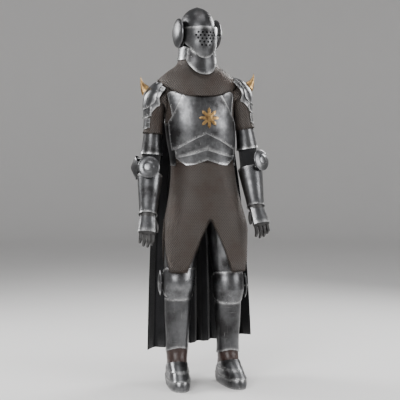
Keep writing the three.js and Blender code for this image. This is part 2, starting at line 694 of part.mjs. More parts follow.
function addHelmet() {
  const helmet = new THREE.Group();
  helmet.position.set(HELMET.x, 0, HELMET.height);
  helmet.rotation.z = THREE.MathUtils.degToRad(HELMET.turn);
  const head = new Surface(SKULL_ROWS.map(([s, a, f, b]) => ({
    s, a, f, b, centre: vector(0, 0, s), side: SIDE, front: FRONT,
  })), TORSO_COLUMNS);
  const skullGeometry = bandOn(head, {
    bottom: (c) => lookup(FACE_EDGE, fromBack(c)), top: SKULL_TOP, inner: -HELMET.wall, wall: HELMET.wall,
  });
  const skull = new THREE.Mesh(skullGeometry, new THREE.MeshBasicMaterial());
  const discs = [earDisc(-1, skull), earDisc(1, skull)];
  suit.add(helmet);
  addPart('helmet_skull', skullGeometry, darkSteel, helmet);
  addPart('helmet_visor', visorGeometry(), steel, helmet);
  addPart('helmet_bevor', bandOn(head, {
    from: -BEVOR_EDGE, to: BEVOR_EDGE, bottom: BEVOR_BOTTOM, top: BEVOR_TOP, inner: BEVOR_INNER,
  }), darkSteel, helmet);
  addPart('helmet_neck_guard', bandOn(head, {
    from: GUARD_EDGE,
    to: TORSO_COLUMNS - GUARD_EDGE,
    bottom: (c) => lookup(GUARD_BOTTOM, fromBack(c)),
    top: (c) => lookup(GUARD_TOP, fromBack(c)),
  }), steel, helmet);
  addPart('helmet_disc_right', discs[0], darkSteel, helmet);
  addPart('helmet_disc_left', discs[1], darkSteel, helmet);
}

// Shoulder and arm plates
const PAULDRON_SEAT = 12;
const FRONT_LAME_UNDER = 2.6 * LAYER;
const PAULDRON_OFF = [[-90, 44], [-60, 38], [-30, 29], [0, 17], [35, PAULDRON_SEAT], [90, PAULDRON_SEAT]];
const PAULDRON_LOW = [[0.3, 0], [1, -24], [2, -52], [3, -58], [4, -52], [5, -24], [5.7, 0]];
const PAULDRON_HIGH = [[0.3, 14], [1, 40], [2, 54], [3, 58], [4, 54], [5, 40], [5.7, 14]];
const FRONT_LAME_LOW = [[-0.5, 8], [0.3, -14], [1, -46], [1.7, -60]];
const FRONT_LAME_HIGH = [[-0.5, 24], [0.3, 46], [1, 72], [1.7, 84]];
const UPPER_LAME = { from: 0.8, to: 5.2, low: 42, high: 94 };
const LOWER_LAME = { from: 1, to: 5, low: 86, high: 146 };
const LAME_SLOPE = 8;
const REREBRACE = { top: 120, end: 262, wave: 4 };
const VAMBRACE = { bottom: 0.18, top: 1 };

function lameBand({ from, to, low, high }, inner) {
  return { from, to, bottom: low, top: (column) => high - LAME_SLOPE * Math.abs(column - 3), inner };
}

function addArm(name, arm, trunkSolid) {
  const { sign, surface, elbow, wrist } = arm;
  const shoulder = surface.grown(PAULDRON_OFF);
  const shoulderPlate = {
    from: 0.3, to: 5.7, bottom: (c) => lookup(PAULDRON_LOW, c), top: (c) => lookup(PAULDRON_HIGH, c),
  };
  const frontLame = {
    from: -0.5, to: 1.7, bottom: (c) => lookup(FRONT_LAME_LOW, c), top: (c) => lookup(FRONT_LAME_HIGH, c),
    step: 0.5, inner: -FRONT_LAME_UNDER,
  };
  const pauldron = cut(bandOn(shoulder, { ...shoulderPlate, inner: 0 }), [trunkSolid]);
  addPart(`pauldron_${name}`, pauldron, steel);
  addPart(`pauldron_front_lame_${name}`, cut(bandOn(shoulder, frontLame), [trunkSolid]), steel);
  const upperInner = PAULDRON_SEAT - FRONT_LAME_UNDER + PLATE + FIT;
  addPart(`arm_lame_upper_${name}`, bandOn(surface, lameBand(UPPER_LAME, upperInner)), steel);
  const lowerInner = SLEEVE_INNER + MAIL + FIT;
  addPart(`arm_lame_lower_${name}`, bandOn(surface, lameBand(LOWER_LAME, lowerInner)), steel);
  const wall = PLATE + SEAT_GAP + HORN.deep;
  const hornSeat = bandOn(shoulder, { ...shoulderPlate, inner: -HORN.deep, wall });
  addPart(`horn_${name}`, horn(shoulder, hornSeat), gilt);
  const forearm = limbSurface(elbow, wrist, sign, FOREARM_ROWS, true);
  const { top, end, wave } = REREBRACE;
  const rerebraceEnd = (column) => end - wave * Math.cos((2 * Math.PI * column) / ARM_COLUMNS);
  const rerebraceWall = bandOn(surface, { bottom: top, top: rerebraceEnd });
  const rerebrace = addPart(`rerebrace_${name}`, rerebraceWall, steel);
  const vambrace = addPart(`vambrace_${name}`, bandOn(forearm, VAMBRACE), steel);
  const sleeve = addPart(`arming_sleeve_${name}`, armingSleeve(surface, forearm, elbow, sign), blackCloth);
  addElbow(name, arm, [rerebrace, vambrace, sleeve]);
  addHand(name, arm, handSurface(arm, forearm));
}

// Horn: a thorn that sweeps up from the pauldron's shoulder.
const HORN = { column: 3, station: -8, slopeFrom: 20, slopeTo: -30, deep: 30 };
// Rows: height over the plate, half size along the slope, half size across, sweep up the slope.
const HORN_ROWS = [[-14, 30, 16, -6], [6, 26, 14, -3], [24, 17, 10, 4], [42, 9, 6, 18], [58, 1.2, 1.2, 38]];

function horn(surface, block) {
  const { column, station, slopeFrom, slopeTo } = HORN;
  const base = surface.point(column, station);
  const out = surface.point(column, station, 1).sub(base).normalize();
  const slope = surface.point(column, slopeTo).sub(surface.point(column, slopeFrom)).normalize();
  const along = slope.clone().addScaledVector(out, -slope.dot(out)).normalize();
  const across = along.clone().cross(out);
  const rings = HORN_ROWS.map(([height, tall, wide, rise]) => ringPoints({
    centre: base.clone().addScaledVector(out, height).addScaledVector(along, rise),
    side: along, front: across, a: tall, f: wide, b: wide,
  }, 8));
  return cut(plugOf(rings), [block]);
}

// Black arming sleeve: a bent tube of cloth from inside the rerebrace to inside the vambrace.
const ARMING = { upper: [195, 225], lower: [0.3, 0.42], bend: { a: 46, f: 44, b: 48 } };

function armingSleeve(surface, forearm, elbow, sign) {
  const { side, front } = limbFrame(surface.stations.at(-1).centre, elbow, sign);
  const rings = [
    ...ARMING.upper.map((s) => surface.ring(s)),
    ringPoints({ centre: elbow, side, front, ...ARMING.bend }, ARM_COLUMNS),
    ...ARMING.lower.map((s) => forearm.ring(s)),
  ];
  const middles = rings.map(middleOf);
  const outward = (point) => {
    const byDistance = (one, other) => one.distanceTo(point) - other.distanceTo(point);
    return point.clone().sub([...middles].sort(byDistance)[0]);
  };
  return wallInside(rings, CLOTH, true, outward);
}

// Elbow: a pointed cop on the outside, and a round plate hung in front of the joint.
const COUTER = {
  radius: 62, tall: 56, bend: 34, profile: [[1, 0], [0.75, 6], [0.45, 13], [0, 30]], count: 12,
};
const COUTER_SEAT = { turn: 62, out: 78, shankUp: 45, shankOut: 4 };
const ELBOW_DISC = { radius: 56, profile: [[1, 0], [0.92, 5], [0.5, 9], [0.42, 14], [0, 18]], count: 12 };
const ELBOW_DISC_SEAT = { lean: 12, postOut: 16.8, postRadius: 5 };

// A frame that looks out sideways by a turn from the front, and up by a lean.
function facingFrame(turn, lean = 0) {
  const [turned, leant] = [turn, lean].map(THREE.MathUtils.degToRad);
  const level = vector(Math.sin(turned), -Math.cos(turned), 0);
  const facing = level.clone().multiplyScalar(Math.cos(leant)).addScaledVector(UP, Math.sin(leant));
  const along = UP.clone().multiplyScalar(Math.cos(leant)).addScaledVector(level, -Math.sin(leant));
  return { facing, across: along.clone().cross(facing), along };
}

function addElbow(name, { sign, elbow, discTurn, discOut, discDrop }, carriers) {
  const { turn, out, shankUp, shankOut } = COUTER_SEAT;
  const cop = facingFrame(sign * (180 - turn));
  const centre = elbow.clone().addScaledVector(cop.facing, out);
  const plate = dish({ centre, across: cop.along, along: cop.across.clone().negate(), ...COUTER });
  const shanks = [shankUp, -shankUp].map((up) => {
    const start = centre.clone().addScaledVector(UP, up).addScaledVector(cop.facing, shankOut);
    return shank(start, cop.facing.clone().negate(), carriers);
  });
  addPart(`couter_${name}`, join([plate, ...shanks]), steel);
  const { lean, postOut, postRadius } = ELBOW_DISC_SEAT;
  const { facing, across, along } = facingFrame(discTurn, lean);
  const middle = elbow.clone().addScaledVector(facing, discOut).addScaledVector(UP, discDrop);
  const disc = dish({ centre: middle, across, along, ...ELBOW_DISC });
  const start = middle.clone().addScaledVector(facing, postOut);
  const post = shank(start, facing.clone().negate(), carriers, postRadius);
  addPart(`couter_disc_${name}`, join([disc, post]), steel);
}

// Hand: a hollow palm, four curled fingers and a thumb, with a plate over the back of the hand.
// Rows: offset across the knuckles, length of the first joint, radius.
const FINGERS = [[-30, 34, 9.5], [-10, 40, 10], [10, 38, 10], [29, 30, 9]];
const FINGER_BENDS = [[0.3, 1], [1.4, 0.95]];
const FINGER_SIDES = 5;
const TIP_SHARE = 0.7;
// How far down the palm the glove is hollow, as a share of the hand's length.
const PALM_END = 0.78;
const THUMB = { across: -34, start: 0.25, radius: 10, spread: -0.45, first: 36, second: 26, inward: 8 };
const HAND_PLATE = { from: -2, to: 3, bottom: 0.08, top: 0.94 };

function curl(along, palm, angle) {
  return along.clone().multiplyScalar(Math.cos(angle)).addScaledVector(palm, Math.sin(angle));
}

function tubeThrough(points, radius, side) {
  const rings = points.map((point, row) => {
    const before = points[Math.max(row - 1, 0)];
    const after = points[Math.min(row + 1, points.length - 1)];
    const along = after.clone().sub(before).normalize();
    const front = side.clone().cross(along).normalize();
    const size = row === points.length - 1 ? radius * TIP_SHARE : radius;
    return ringPoints({ centre: point, side, front, a: size, f: size, b: size }, FINGER_SIDES);
  });
  return plugOf(rings);
}

function fingerOf([across, length, radius], knuckles, { along, side, palm }) {
  const points = [knuckles.clone().addScaledVector(side, across)];
  for (const [angle, share] of FINGER_BENDS) {
    points.push(points.at(-1).clone().addScaledVector(curl(along, palm, angle), length * share));
  }
  return tubeThrough(points, radius, side);
}

function thumbOf(wrist, knuckles, { along, side, palm }) {
  const { across, start, radius, spread, first, second, inward } = THUMB;
  const root = wrist.clone().lerp(knuckles, start).addScaledVector(side, across);
  const outward = along.clone().addScaledVector(side, spread).normalize();
  const joint = root.clone().addScaledVector(outward, first);
  const tip = joint.clone().addScaledVector(along, second).addScaledVector(palm, inward);
  return tubeThrough([root, joint, tip], radius, palm);
}

function addHand(name, { sign, wrist, knuckles }, hand) {
  const { along, side, front } = limbFrame(wrist, knuckles, sign);
  const frame = { along, side, palm: front.clone().negate() };
  const palmEnd = hand.ring(PALM_END, -LEATHER);
  const middle = wrist.clone().lerp(knuckles, PALM_END);
  const levels = hand.stations.map((station) => station.s);
  const inside = levels.map((s) => (s < PALM_END ? hand.ring(s, -LEATHER) : palmEnd));
  inside[levels.length - 1] = palmEnd.map(() => middle.clone());
  const palmShell = wallBetween(levels.map((s) => hand.ring(s)), inside, true);
  const fingers = FINGERS.map((finger) => fingerOf(finger, knuckles, frame));
  const glove = join([palmShell, ...fingers, thumbOf(wrist, knuckles, frame)]);
  addPart(`glove_${name}`, glove, blackLeather);
  addPart(`hand_plate_${name}`, bandOn(hand, HAND_PLATE), steel);
}

// Legs. Rows: height, half width, depth in front, depth behind, all of the hose.
const LEG_ROWS = [
  [145, 58, 60, 59], [180, 55, 57, 57], [240, 56, 56, 61], [310, 62, 60, 73], [380, 66, 63, 78],
  [432, 66, 64, 74], [470, 65, 66, 66], [520, 68, 69, 63], [600, 78, 73, 78],
  [700, 86, 80, 90], [838, 95.8, 90, 100],
];
const LEGS = {
  right: { sign: -1, foot: -110, knee: -103, hip: -68.3, drop: 0, turn: -4 },
  left: { sign: 1, foot: 150, knee: 149, hip: 130.5, drop: -25, turn: 6 },
};
const POLEYN_BULGE = [[424, 0], [445, 5], [470, 17], [505, 25], [540, 18], [565, 7], [590, 0]];
const POLEYN_LOW = mirrored([[0, 424], [2, 430], [4, 452], [5, 476]]);
const POLEYN_HIGH = mirrored([[0, 590], [3, 584], [5, 556]]);
const POLEYN_EDGE = 5;
const POLEYN_ROWS = [446, 496, 545, 570];
// The bulge fades to nothing at this column to each side.
const POLEYN_BULGE_END = 6;
const HOSE = { bottom: 412, top: 600 };
const GREAVE = { bottom: 170, notch: 22, dropShare: 0.8, top: 432 };
const CUISSE_TOP = 838;
const CUISSE_BOTTOM = mirrored([[0, 572], [4, 560], [8, 580]]);
const WING = { radius: 30, tall: 62, profile: [[1, 0], [0.75, 8], [0, 13]], count: 12 };
const WING_SEAT = { out: 90, back: 4, height: 508, postOut: 11, postForward: 12 };

function legSurface({ foot, knee, hip }) {
  const path = [[145, foot], [520, knee], [838, hip]];
  return new Surface(LEG_ROWS.map(([s, a, f, b]) => ({
    s, a, f, b, centre: vector(lookup(path, s), 0, s), side: SIDE, front: FRONT,
  })), LEG_COLUMNS);
}

function poleynBand(drop) {
  const inner = (column, s) => {
    const share = Math.max(0, Math.cos((Math.PI * column) / (2 * POLEYN_BULGE_END)));
    return LAYER + FIT + lookup(POLEYN_BULGE, s - drop) * share;
  };
  return {
    from: -POLEYN_EDGE,
    to: POLEYN_EDGE,
    bottom: (column) => POLEYN_LOW(column) + drop,
    top: (column) => POLEYN_HIGH(column) + drop,
    rows: POLEYN_ROWS.map((height) => height + drop),
    inner,
  };
}

function addLeg(name, leg) {
  const surface = legSurface(leg);
  const { drop, sign } = leg;
  const around = (column) => Math.min(column, LEG_COLUMNS - column);
  addPart(`hose_${name}`, bandOn(surface, {
    bottom: HOSE.bottom + drop, top: HOSE.top + drop, inner: -CLOTH, wall: CLOTH,
  }), blackCloth);
  const greaveBottom = (column) => {
    const share = Math.cos((2 * Math.PI * column) / LEG_COLUMNS) ** 2;
    return GREAVE.bottom + GREAVE.notch * share + drop * GREAVE.dropShare;
  };
  const greave = bandOn(surface, { bottom: greaveBottom, top: GREAVE.top + drop });
  addPart(`greave_${name}`, greave, darkSteel);
  const cuisseBottom = (column) => CUISSE_BOTTOM(around(column)) + drop;
  addPart(`cuisse_${name}`, bandOn(surface, { bottom: cuisseBottom, top: CUISSE_TOP }), steel);
  const poleyn = addPart(`poleyn_${name}`, bandOn(surface, poleynBand(drop)), steel);
  const { out, back, height, postOut, postForward } = WING_SEAT;
  const knee = surface.point(0, height + drop);
  const centre = vector(knee.x + sign * out, back, height + drop);
  const wing = dish({ centre, across: vector(0, sign, 0), along: UP, ...WING });
  const start = centre.clone().add(vector(sign * postOut, -postForward, 0));
  const post = shank(start, vector(-sign, 0, 0), [poleyn]);
  addPart(`poleyn_wing_${name}`, join([wing, post]), steel);
  addFoot(name, leg, surface);
}

// Feet. Rows: station, height, half width, length in front, length behind, squareness.
const FOOT_ROWS = [
  [-2, 0, 0, 0, 0, 0.8], [0, 0, 52, 196, 66, 0.72], [18, 18, 56, 204, 72, 0.7], [45, 45, 55, 192, 70, 0.72],
  [80, 80, 52, 140, 65, 0.8], [120, 122, 50, 76, 60, 0.95],
];
const SHAFT_ROWS = [160, 180, 212];
// The sole's inner face: its height at the bottom, and how much of each ring's height it adds.
const SOLE = { height: 9, slope: 0.1 };
const SABATON = { edge: 7, bottom: 3, fit: 1.2, top: mirrored([[0, 124], [3, 112], [5, 80], [7, 60]]) };
const LAME_LIP = 2.4;
const LAME_ROWS = [44.9, 79.9];
const LAME_LINES = [[16, 45], [45, 80], [80, 125]];

function lameStep(column, s) {
  const line = LAME_LINES.find(([low, high]) => s >= low && s < high);
  if (!line) return PLATE;
  return PLATE + (LAME_LIP * (s - line[0])) / (line[1] - line[0]);
}

// A foot turned about its own upright, whose last rings are those of the leg.
function addFoot(name, { foot, turn }, leg) {
  const angle = THREE.MathUtils.degToRad(turn);
  const side = vector(Math.cos(angle), Math.sin(angle), 0);
  const front = vector(Math.sin(angle), -Math.cos(angle), 0);
  const stations = FOOT_ROWS.map(([s, z, a, f, b, power]) => ({
    s, a, f, b, power, side, front, centre: vector(foot, 0, z),
  }));
  const shaft = SHAFT_ROWS.map((s) => ({ s, centre: vector(foot, 0, s) }));
  const inside = stations.map(({ s, a, f, b, power, centre }) => ringPoints({
    side,
    front,
    power,
    centre: centre.clone().setZ(Math.max(centre.z, SOLE.height + s * SOLE.slope)),
    a: Math.max(a - LEATHER, 0),
    f: Math.max(f - LEATHER * 2, 0),
    b: Math.max(b - LEATHER, 0),
  }, LEG_COLUMNS));
  const shape = stations.map((station) => ringPoints(station, LEG_COLUMNS));
  const outer = [...shape, ...SHAFT_ROWS.map((s) => leg.ring(s))];
  const inner = [...inside, ...SHAFT_ROWS.map((s) => leg.ring(s, -LEATHER))];
  addPart(`boot_${name}`, wallBetween(outer, inner, true), bootLeather);
  const surface = new Surface([...stations, ...shaft], LEG_COLUMNS, outer);
  addPart(`sabaton_${name}`, bandOn(surface, {
    from: -SABATON.edge,
    to: SABATON.edge,
    bottom: SABATON.bottom,
    top: SABATON.top,
    rows: LAME_ROWS,
    inner: SABATON.fit,
    wall: lameStep,
  }), steel);
}

// Cape: hung behind the shoulders in vertical folds.
const CAPE = { columns: 25, folds: 7, swing: 0.8, swingTurns: 3, wrap: 26, hang: 15, hemTilt: 30 };
const CAPE_HALF = { top: 165, hem: 272 };
const CAPE_MIDDLE = { top: -4, hem: 38 };
// Rows: height, distance behind the trunk's middle, depth of the folds, share of the spread.
const CAPE_ROWS = [
  [1400, 150, 7, 0.1], [1200, 158, 15, 0.35], [850, 172, 24, 0.7], [500, 178, 28, 0.9], [190, 182, 31, 1],
];
const CAPE_TOP = [1490, 1480, 1450];
const CAPE_TOP_COLUMNS = 4.4;

function cape() {
  const { columns, folds, swing, swingTurns, wrap, hang, hemTilt } = CAPE;
  const share = (column) => (2 * column) / (columns - 1) - 1;
  const seat = MANTLE_OUTER + EDGE_FIT + CLOTH;
  const rows = CAPE_TOP.map((height) => Array.from({ length: columns }, (_, column) => (
    trunk.point(FRONT_COLUMN_OF_BACK - share(column) * CAPE_TOP_COLUMNS, height, seat)
  )));
  for (const [height, behind, depth, spread] of CAPE_ROWS) {
    const half = CAPE_HALF.top + (CAPE_HALF.hem - CAPE_HALF.top) * spread;
    const middle = CAPE_MIDDLE.top + (CAPE_MIDDLE.hem - CAPE_MIDDLE.top) * spread;
    const tilt = spread === 1 ? hemTilt : 0;
    rows.push(Array.from({ length: columns }, (_, column) => {
      const across = share(column);
      const wave = Math.cos(Math.PI * folds * across + swing * Math.sin(swingTurns * across));
      const back = behind - wrap * across * across * (1 - spread) + depth * wave;
      return vector(middle + half * across, back, height + tilt * across - hang);
    }));
  }
  return wallInside(rows, CLOTH, false, () => vector(0, 1, 0));
}

const arms = Object.entries(ARMS).map(([name, arm]) => ({ name, ...arm, surface: upperArmSurface(arm) }));
addHelmet();
addMail(arms);
addTrunkPlates();
const chestStations = trunk.stations.map(({ s }) => s).filter((s) => s > SEAM_HEIGHT);
const mantleBlock = plugOf(chestStations.map((s) => trunk.ring(s, MANTLE_OUTER + FIT)));
for (const arm of arms) addArm(arm.name, arm, mantleBlock);
for (const [name, leg] of Object.entries(LEGS)) addLeg(name, leg);
addPart('cape', cape(), blackCloth);
suit.position.z = -SHOULDER_HEIGHT;

export default suit;
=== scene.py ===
import math

import bmesh
import bpy
from mathutils import Matrix, Vector, noise
from mathutils.kdtree import KDTree


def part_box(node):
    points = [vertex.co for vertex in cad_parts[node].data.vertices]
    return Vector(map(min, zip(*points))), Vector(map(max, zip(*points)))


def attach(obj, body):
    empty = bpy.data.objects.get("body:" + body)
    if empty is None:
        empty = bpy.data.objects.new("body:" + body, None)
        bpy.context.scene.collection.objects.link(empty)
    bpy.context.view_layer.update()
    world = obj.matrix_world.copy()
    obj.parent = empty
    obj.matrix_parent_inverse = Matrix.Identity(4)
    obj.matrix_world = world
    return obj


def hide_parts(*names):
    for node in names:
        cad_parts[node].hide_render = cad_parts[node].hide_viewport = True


bl_info = {
    "name": "Suit of plate armour",
    "version": (1, 0, 0),
    "blender": (4, 5, 0),
    "location": "View3D > Sidebar > Armour",
    "description": "Dresses a hollow suit of plate armour: steel, mail, leather, gilding and cape",
    "category": "Object",
}

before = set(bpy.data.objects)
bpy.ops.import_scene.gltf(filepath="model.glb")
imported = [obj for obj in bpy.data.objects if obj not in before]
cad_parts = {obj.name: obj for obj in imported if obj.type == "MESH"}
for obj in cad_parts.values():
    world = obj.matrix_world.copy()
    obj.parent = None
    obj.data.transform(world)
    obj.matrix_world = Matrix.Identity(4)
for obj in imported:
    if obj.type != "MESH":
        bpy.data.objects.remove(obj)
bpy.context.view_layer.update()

SOLE_HEIGHT = -1.45
# The inner lines of the suit, as points from one end to the other. A wall's outside faces away from them.
LIMBS = {
    "head": ((-0.008, 0, 0.08), (-0.008, 0, 0.31)),
    "trunk": ((0.03, 0, -0.9), (0.0, 0, 0.05)),
    "arm_right": ((-0.218, 0, -0.05), (-0.24, 0.005, -0.375), (-0.272, -0.11, -0.6), (-0.284, -0.16, -0.685)),
    "arm_left": ((0.212, 0, -0.025), (0.258, 0, -0.347), (0.264, -0.11, -0.566), (0.28, -0.158, -0.652)),
    "leg_right": ((-0.068, 0, -0.61), (-0.103, 0, -0.93), (-0.11, 0, -1.36), (-0.12, -0.13, -1.41)),
    "leg_left": ((0.13, 0, -0.61), (0.149, 0, -0.93), (0.15, 0, -1.36), (0.165, -0.13, -1.41)),
}
SIDES = ("right", "left")


# Settings
def paint(name, description, default):
    return bpy.props.FloatVectorProperty(
        name=name, description=description, subtype="COLOR", size=3, min=0, max=1, default=default)


def length(name, description, low, high, default):
    return bpy.props.FloatProperty(
        name=name, description=description, subtype="DISTANCE", min=low, max=high, default=default)


class SteelSettings(bpy.types.PropertyGroup):
    polished: paint("Polished steel", "Colour of the bright plates", (0.2, 0.203, 0.21))
    patina: paint("Patina", "Colour of the plates' dark patches", (0.035, 0.034, 0.035))
    worn: paint("Worn edge", "Colour of rims and scratches", (0.52, 0.52, 0.52))
    dent: length("Dent depth", "Depth of the hammered dents", 0, 0.003, 0.0007)
    rim: length("Rim radius", "Radius of the rolled rims", 0.0005, 0.004, 0.0012)
    rivet: length("Rivet radius", "Radius of the rivet heads", 0.001, 0.006, 0.0028)
    spacing: length("Rivet spacing", "Distance from one rivet to the next", 0.01, 0.2, 0.045)


class GiltSettings(bpy.types.PropertyGroup):
    gold: paint("Gold", "Colour of the gilding", (0.56, 0.36, 0.15))
    tarnish: paint("Tarnish", "Colour in the gilding's hollows", (0.12, 0.07, 0.035))


class MailSettings(bpy.types.PropertyGroup):
    ring: paint("Ring", "Colour of the mail's rings", (0.115, 0.098, 0.086))
    shade: paint("Shade", "Colour between the mail's rings", (0.009, 0.007, 0.0065))
    pitch: length("Ring pitch", "Width of one ring", 0.004, 0.02, 0.0105)


class ClothSettings(bpy.types.PropertyGroup):
    cloth: paint("Black cloth", "Colour of the cape, hose and arming sleeves", (0.006, 0.006, 0.007))
    glove: paint("Glove leather", "Colour of the gloves", (0.016, 0.015, 0.015))
    boot: paint("Boot leather", "Colour of the boots", (0.026, 0.012, 0.0095))


class StageSettings(bpy.types.PropertyGroup):
    distance: length("Camera distance", "From the camera to the suit's midline", 1, 20, 5.0)
    azimuth: bpy.props.FloatProperty(
        name="Camera azimuth", description="Angle of the camera round the suit", subtype="ANGLE",
        default=math.radians(-12))
    height: length("Camera height", "Height of the camera over the floor", 0, 5, 1.15)
    floor: paint("Floor", "Colour of the plain floor", (0.82, 0.81, 0.8))


# Shader node groups and materials
class Nodes:
    """Adds nodes to a tree and links them."""

    def __init__(self, tree):
        self.tree = tree

    def add(self, kind, inputs=(), **settings):
        made = self.tree.nodes.new(kind)
        for name, value in settings.items():
            setattr(made, name, value)
        for name, value in dict(inputs).items():
            self.feed(made.inputs[name], value)
        return made

    def feed(self, socket, value):
        if isinstance(value, bpy.types.NodeSocket):
            self.tree.links.new(value, socket)
        else:
            socket.default_value = value

    def maths(self, operation, first, second=0.0):
        made = self.add("ShaderNodeMath", operation=operation)
        self.feed(made.inputs[0], first)
        self.feed(made.inputs[1], second)
        return made.outputs[0]

    def ramp(self, value, low, high):
        made = self.add("ShaderNodeMapRange", {"Value": value, "From Min": low, "From Max": high})
        return made.outputs["Result"]

    def mix(self, factor, first, second):
        made = self.add("ShaderNodeMix", data_type="RGBA")
        self.feed(made.inputs[0], factor)
        self.feed(made.inputs[6], first)
        self.feed(made.inputs[7], second)
        return made.outputs[2]

    def noise(self, vector, scale, detail=4.0, roughness=0.55):
        made = self.add("ShaderNodeTexNoise", {
            "Vector": vector, "Scale": scale, "Detail": detail, "Roughness": roughness})
        return made.outputs["Fac"]

    def stretched(self, vector, scale):
        return self.add("ShaderNodeMapping", {"Vector": vector, "Scale": scale}).outputs[0]


def colour(value):
    return (*value[:3], 1.0)


def shader_group(name, inputs, outputs, build):
    tree = bpy.data.node_groups.new(name, "ShaderNodeTree")
    for label, kind, default in inputs:
        socket = tree.interface.new_socket(label, in_out="INPUT", socket_type=kind)
        if default is not None:
            socket.default_value = default
    for label, kind in outputs:
        tree.interface.new_socket(label, in_out="OUTPUT", socket_type=kind)
    nodes = Nodes(tree)
    start = nodes.add("NodeGroupInput")
    end = nodes.add("NodeGroupOutput")
    for label, value in build(nodes, start.outputs).items():
        nodes.feed(end.inputs[label], value)
    return tree


# How often the noise of the scratches turns in a metre, each way.
UPRIGHT_SCRATCH = (230.0, 230.0, 9.0)
LEVEL_SCRATCH = (12.0, 12.0, 260.0)


def build_wear(nodes, given):
    """Bright worn metal along rims and in long scratches, and dark patches between them."""
    vector = given["Vector"]
    patches = nodes.ramp(nodes.noise(vector, given["Patch Scale"], 7.0, 0.62), 0.36, 0.66)
    breakup = nodes.noise(vector, 60.0, 5.0, 0.7)
    rim = nodes.maths("MULTIPLY", given["Rim"], nodes.ramp(breakup, 0.3, 0.62))
    upright = nodes.noise(nodes.stretched(vector, UPRIGHT_SCRATCH), 1.0, 3.0, 0.6)
    level = nodes.noise(nodes.stretched(vector, LEVEL_SCRATCH), 1.0, 3.0, 0.6)
    lines = nodes.maths("MAXIMUM", nodes.ramp(upright, 0.6, 0.74), nodes.ramp(level, 0.64, 0.76))
    scratches = nodes.maths("MULTIPLY", lines, nodes.ramp(nodes.noise(vector, 17.0), 0.44, 0.66))
    dents = nodes.noise(vector, given["Dent Scale"], 2.0, 0.4)
    fine = nodes.noise(vector, 240.0, 3.0, 0.6)
    height = nodes.maths("ADD", dents, nodes.maths("MULTIPLY", fine, 0.07))
    return {
        "Patches": patches,
        "Bright": nodes.maths("MAXIMUM", rim, nodes.maths("MULTIPLY", scratches, 0.42)),
        "Height": nodes.maths("SUBTRACT", height, nodes.maths("MULTIPLY", scratches, 0.05)),
    }


# A mail ring: where its wire runs from its middle out, how far it leans, and a row's share of the pitch.
RING_BOW = 0.74
RING_LEAN = 0.35
ROW_SHARE = 0.66


def build_rings(nodes, given):
    """Rows of flat rings that hang from each other, as a height and a mask of metal."""
    split = nodes.add("ShaderNodeSeparateXYZ", {"Vector": given["Vector"]})
    across = nodes.maths("DIVIDE", split.outputs[0], given["Pitch"])
    down = nodes.maths("DIVIDE", split.outputs[1], nodes.maths("MULTIPLY", given["Pitch"], ROW_SHARE))
    layers = []
    for shift in (0.0, 1.0):
        row = nodes.maths("ADD", down, shift)
        pair = nodes.maths("MULTIPLY", nodes.maths("FLOOR", nodes.maths("MULTIPLY", row, 0.5)), 2.0)
        local_down = nodes.maths("SUBTRACT", nodes.maths("SUBTRACT", row, pair), 1.0)
        column = nodes.maths("ADD", across, shift * 0.5)
        local_across = nodes.maths("SUBTRACT", nodes.maths("FRACT", column), 0.5)
        squared = nodes.maths("ADD", nodes.maths("POWER", nodes.maths("MULTIPLY", local_across, 2.0), 2.0),
                              nodes.maths("POWER", local_down, 2.0))
        away = nodes.maths("ABSOLUTE", nodes.maths("SUBTRACT", nodes.maths("SQRT", squared), RING_BOW))
        bow = nodes.maths("SUBTRACT", 1.0, nodes.maths("DIVIDE", away, 1 - RING_BOW))
        side = nodes.maths("MULTIPLY", local_across, RING_LEAN if shift else -RING_LEAN)
        layers.append(nodes.maths("ADD", bow, side))
    height = nodes.maths("MAXIMUM", nodes.maths("MAXIMUM", layers[0], layers[1]), 0.0)
    rust = nodes.ramp(nodes.noise(given["Place"], 9.0, 5.0, 0.6), 0.42, 0.68)
    return {"Height": height, "Metal": nodes.ramp(height, 0.05, 0.5), "Rust": rust}


def build_weave(nodes, given):
    """A plain weave and a slow unevenness of the cloth."""
    split = nodes.add("ShaderNodeSeparateXYZ", {"Vector": given["Vector"]})
    warp = nodes.maths("SINE", nodes.maths("MULTIPLY", split.outputs[0], given["Threads"]))
    weft = nodes.maths("SINE", nodes.maths("MULTIPLY", split.outputs[1], given["Threads"]))
    thread = nodes.maths("MULTIPLY", warp, weft)
    fuzz = nodes.noise(given["Place"], 420.0, 3.0, 0.7)
    return {
        "Height": nodes.maths("ADD", nodes.maths("MULTIPLY", thread, 0.5), fuzz),
        "Shade": nodes.ramp(nodes.noise(given["Place"], 11.0, 5.0, 0.6), 0.35, 0.7),
    }


def build_grain(nodes, given):
    """Leather's fine cells, with slower creases and scuffs."""
    cells = nodes.add("ShaderNodeTexVoronoi", {"Vector": given["Vector"], "Scale": given["Cell Scale"]})
    creases = nodes.noise(given["Vector"], 38.0, 5.0, 0.65)
    scuffs = nodes.ramp(nodes.noise(given["Vector"], 26.0, 6.0, 0.7), 0.52, 0.72)
    height = nodes.maths("ADD", nodes.maths("MULTIPLY", cells.outputs["Distance"], 0.5), creases)
    return {"Height": height, "Scuffs": scuffs}


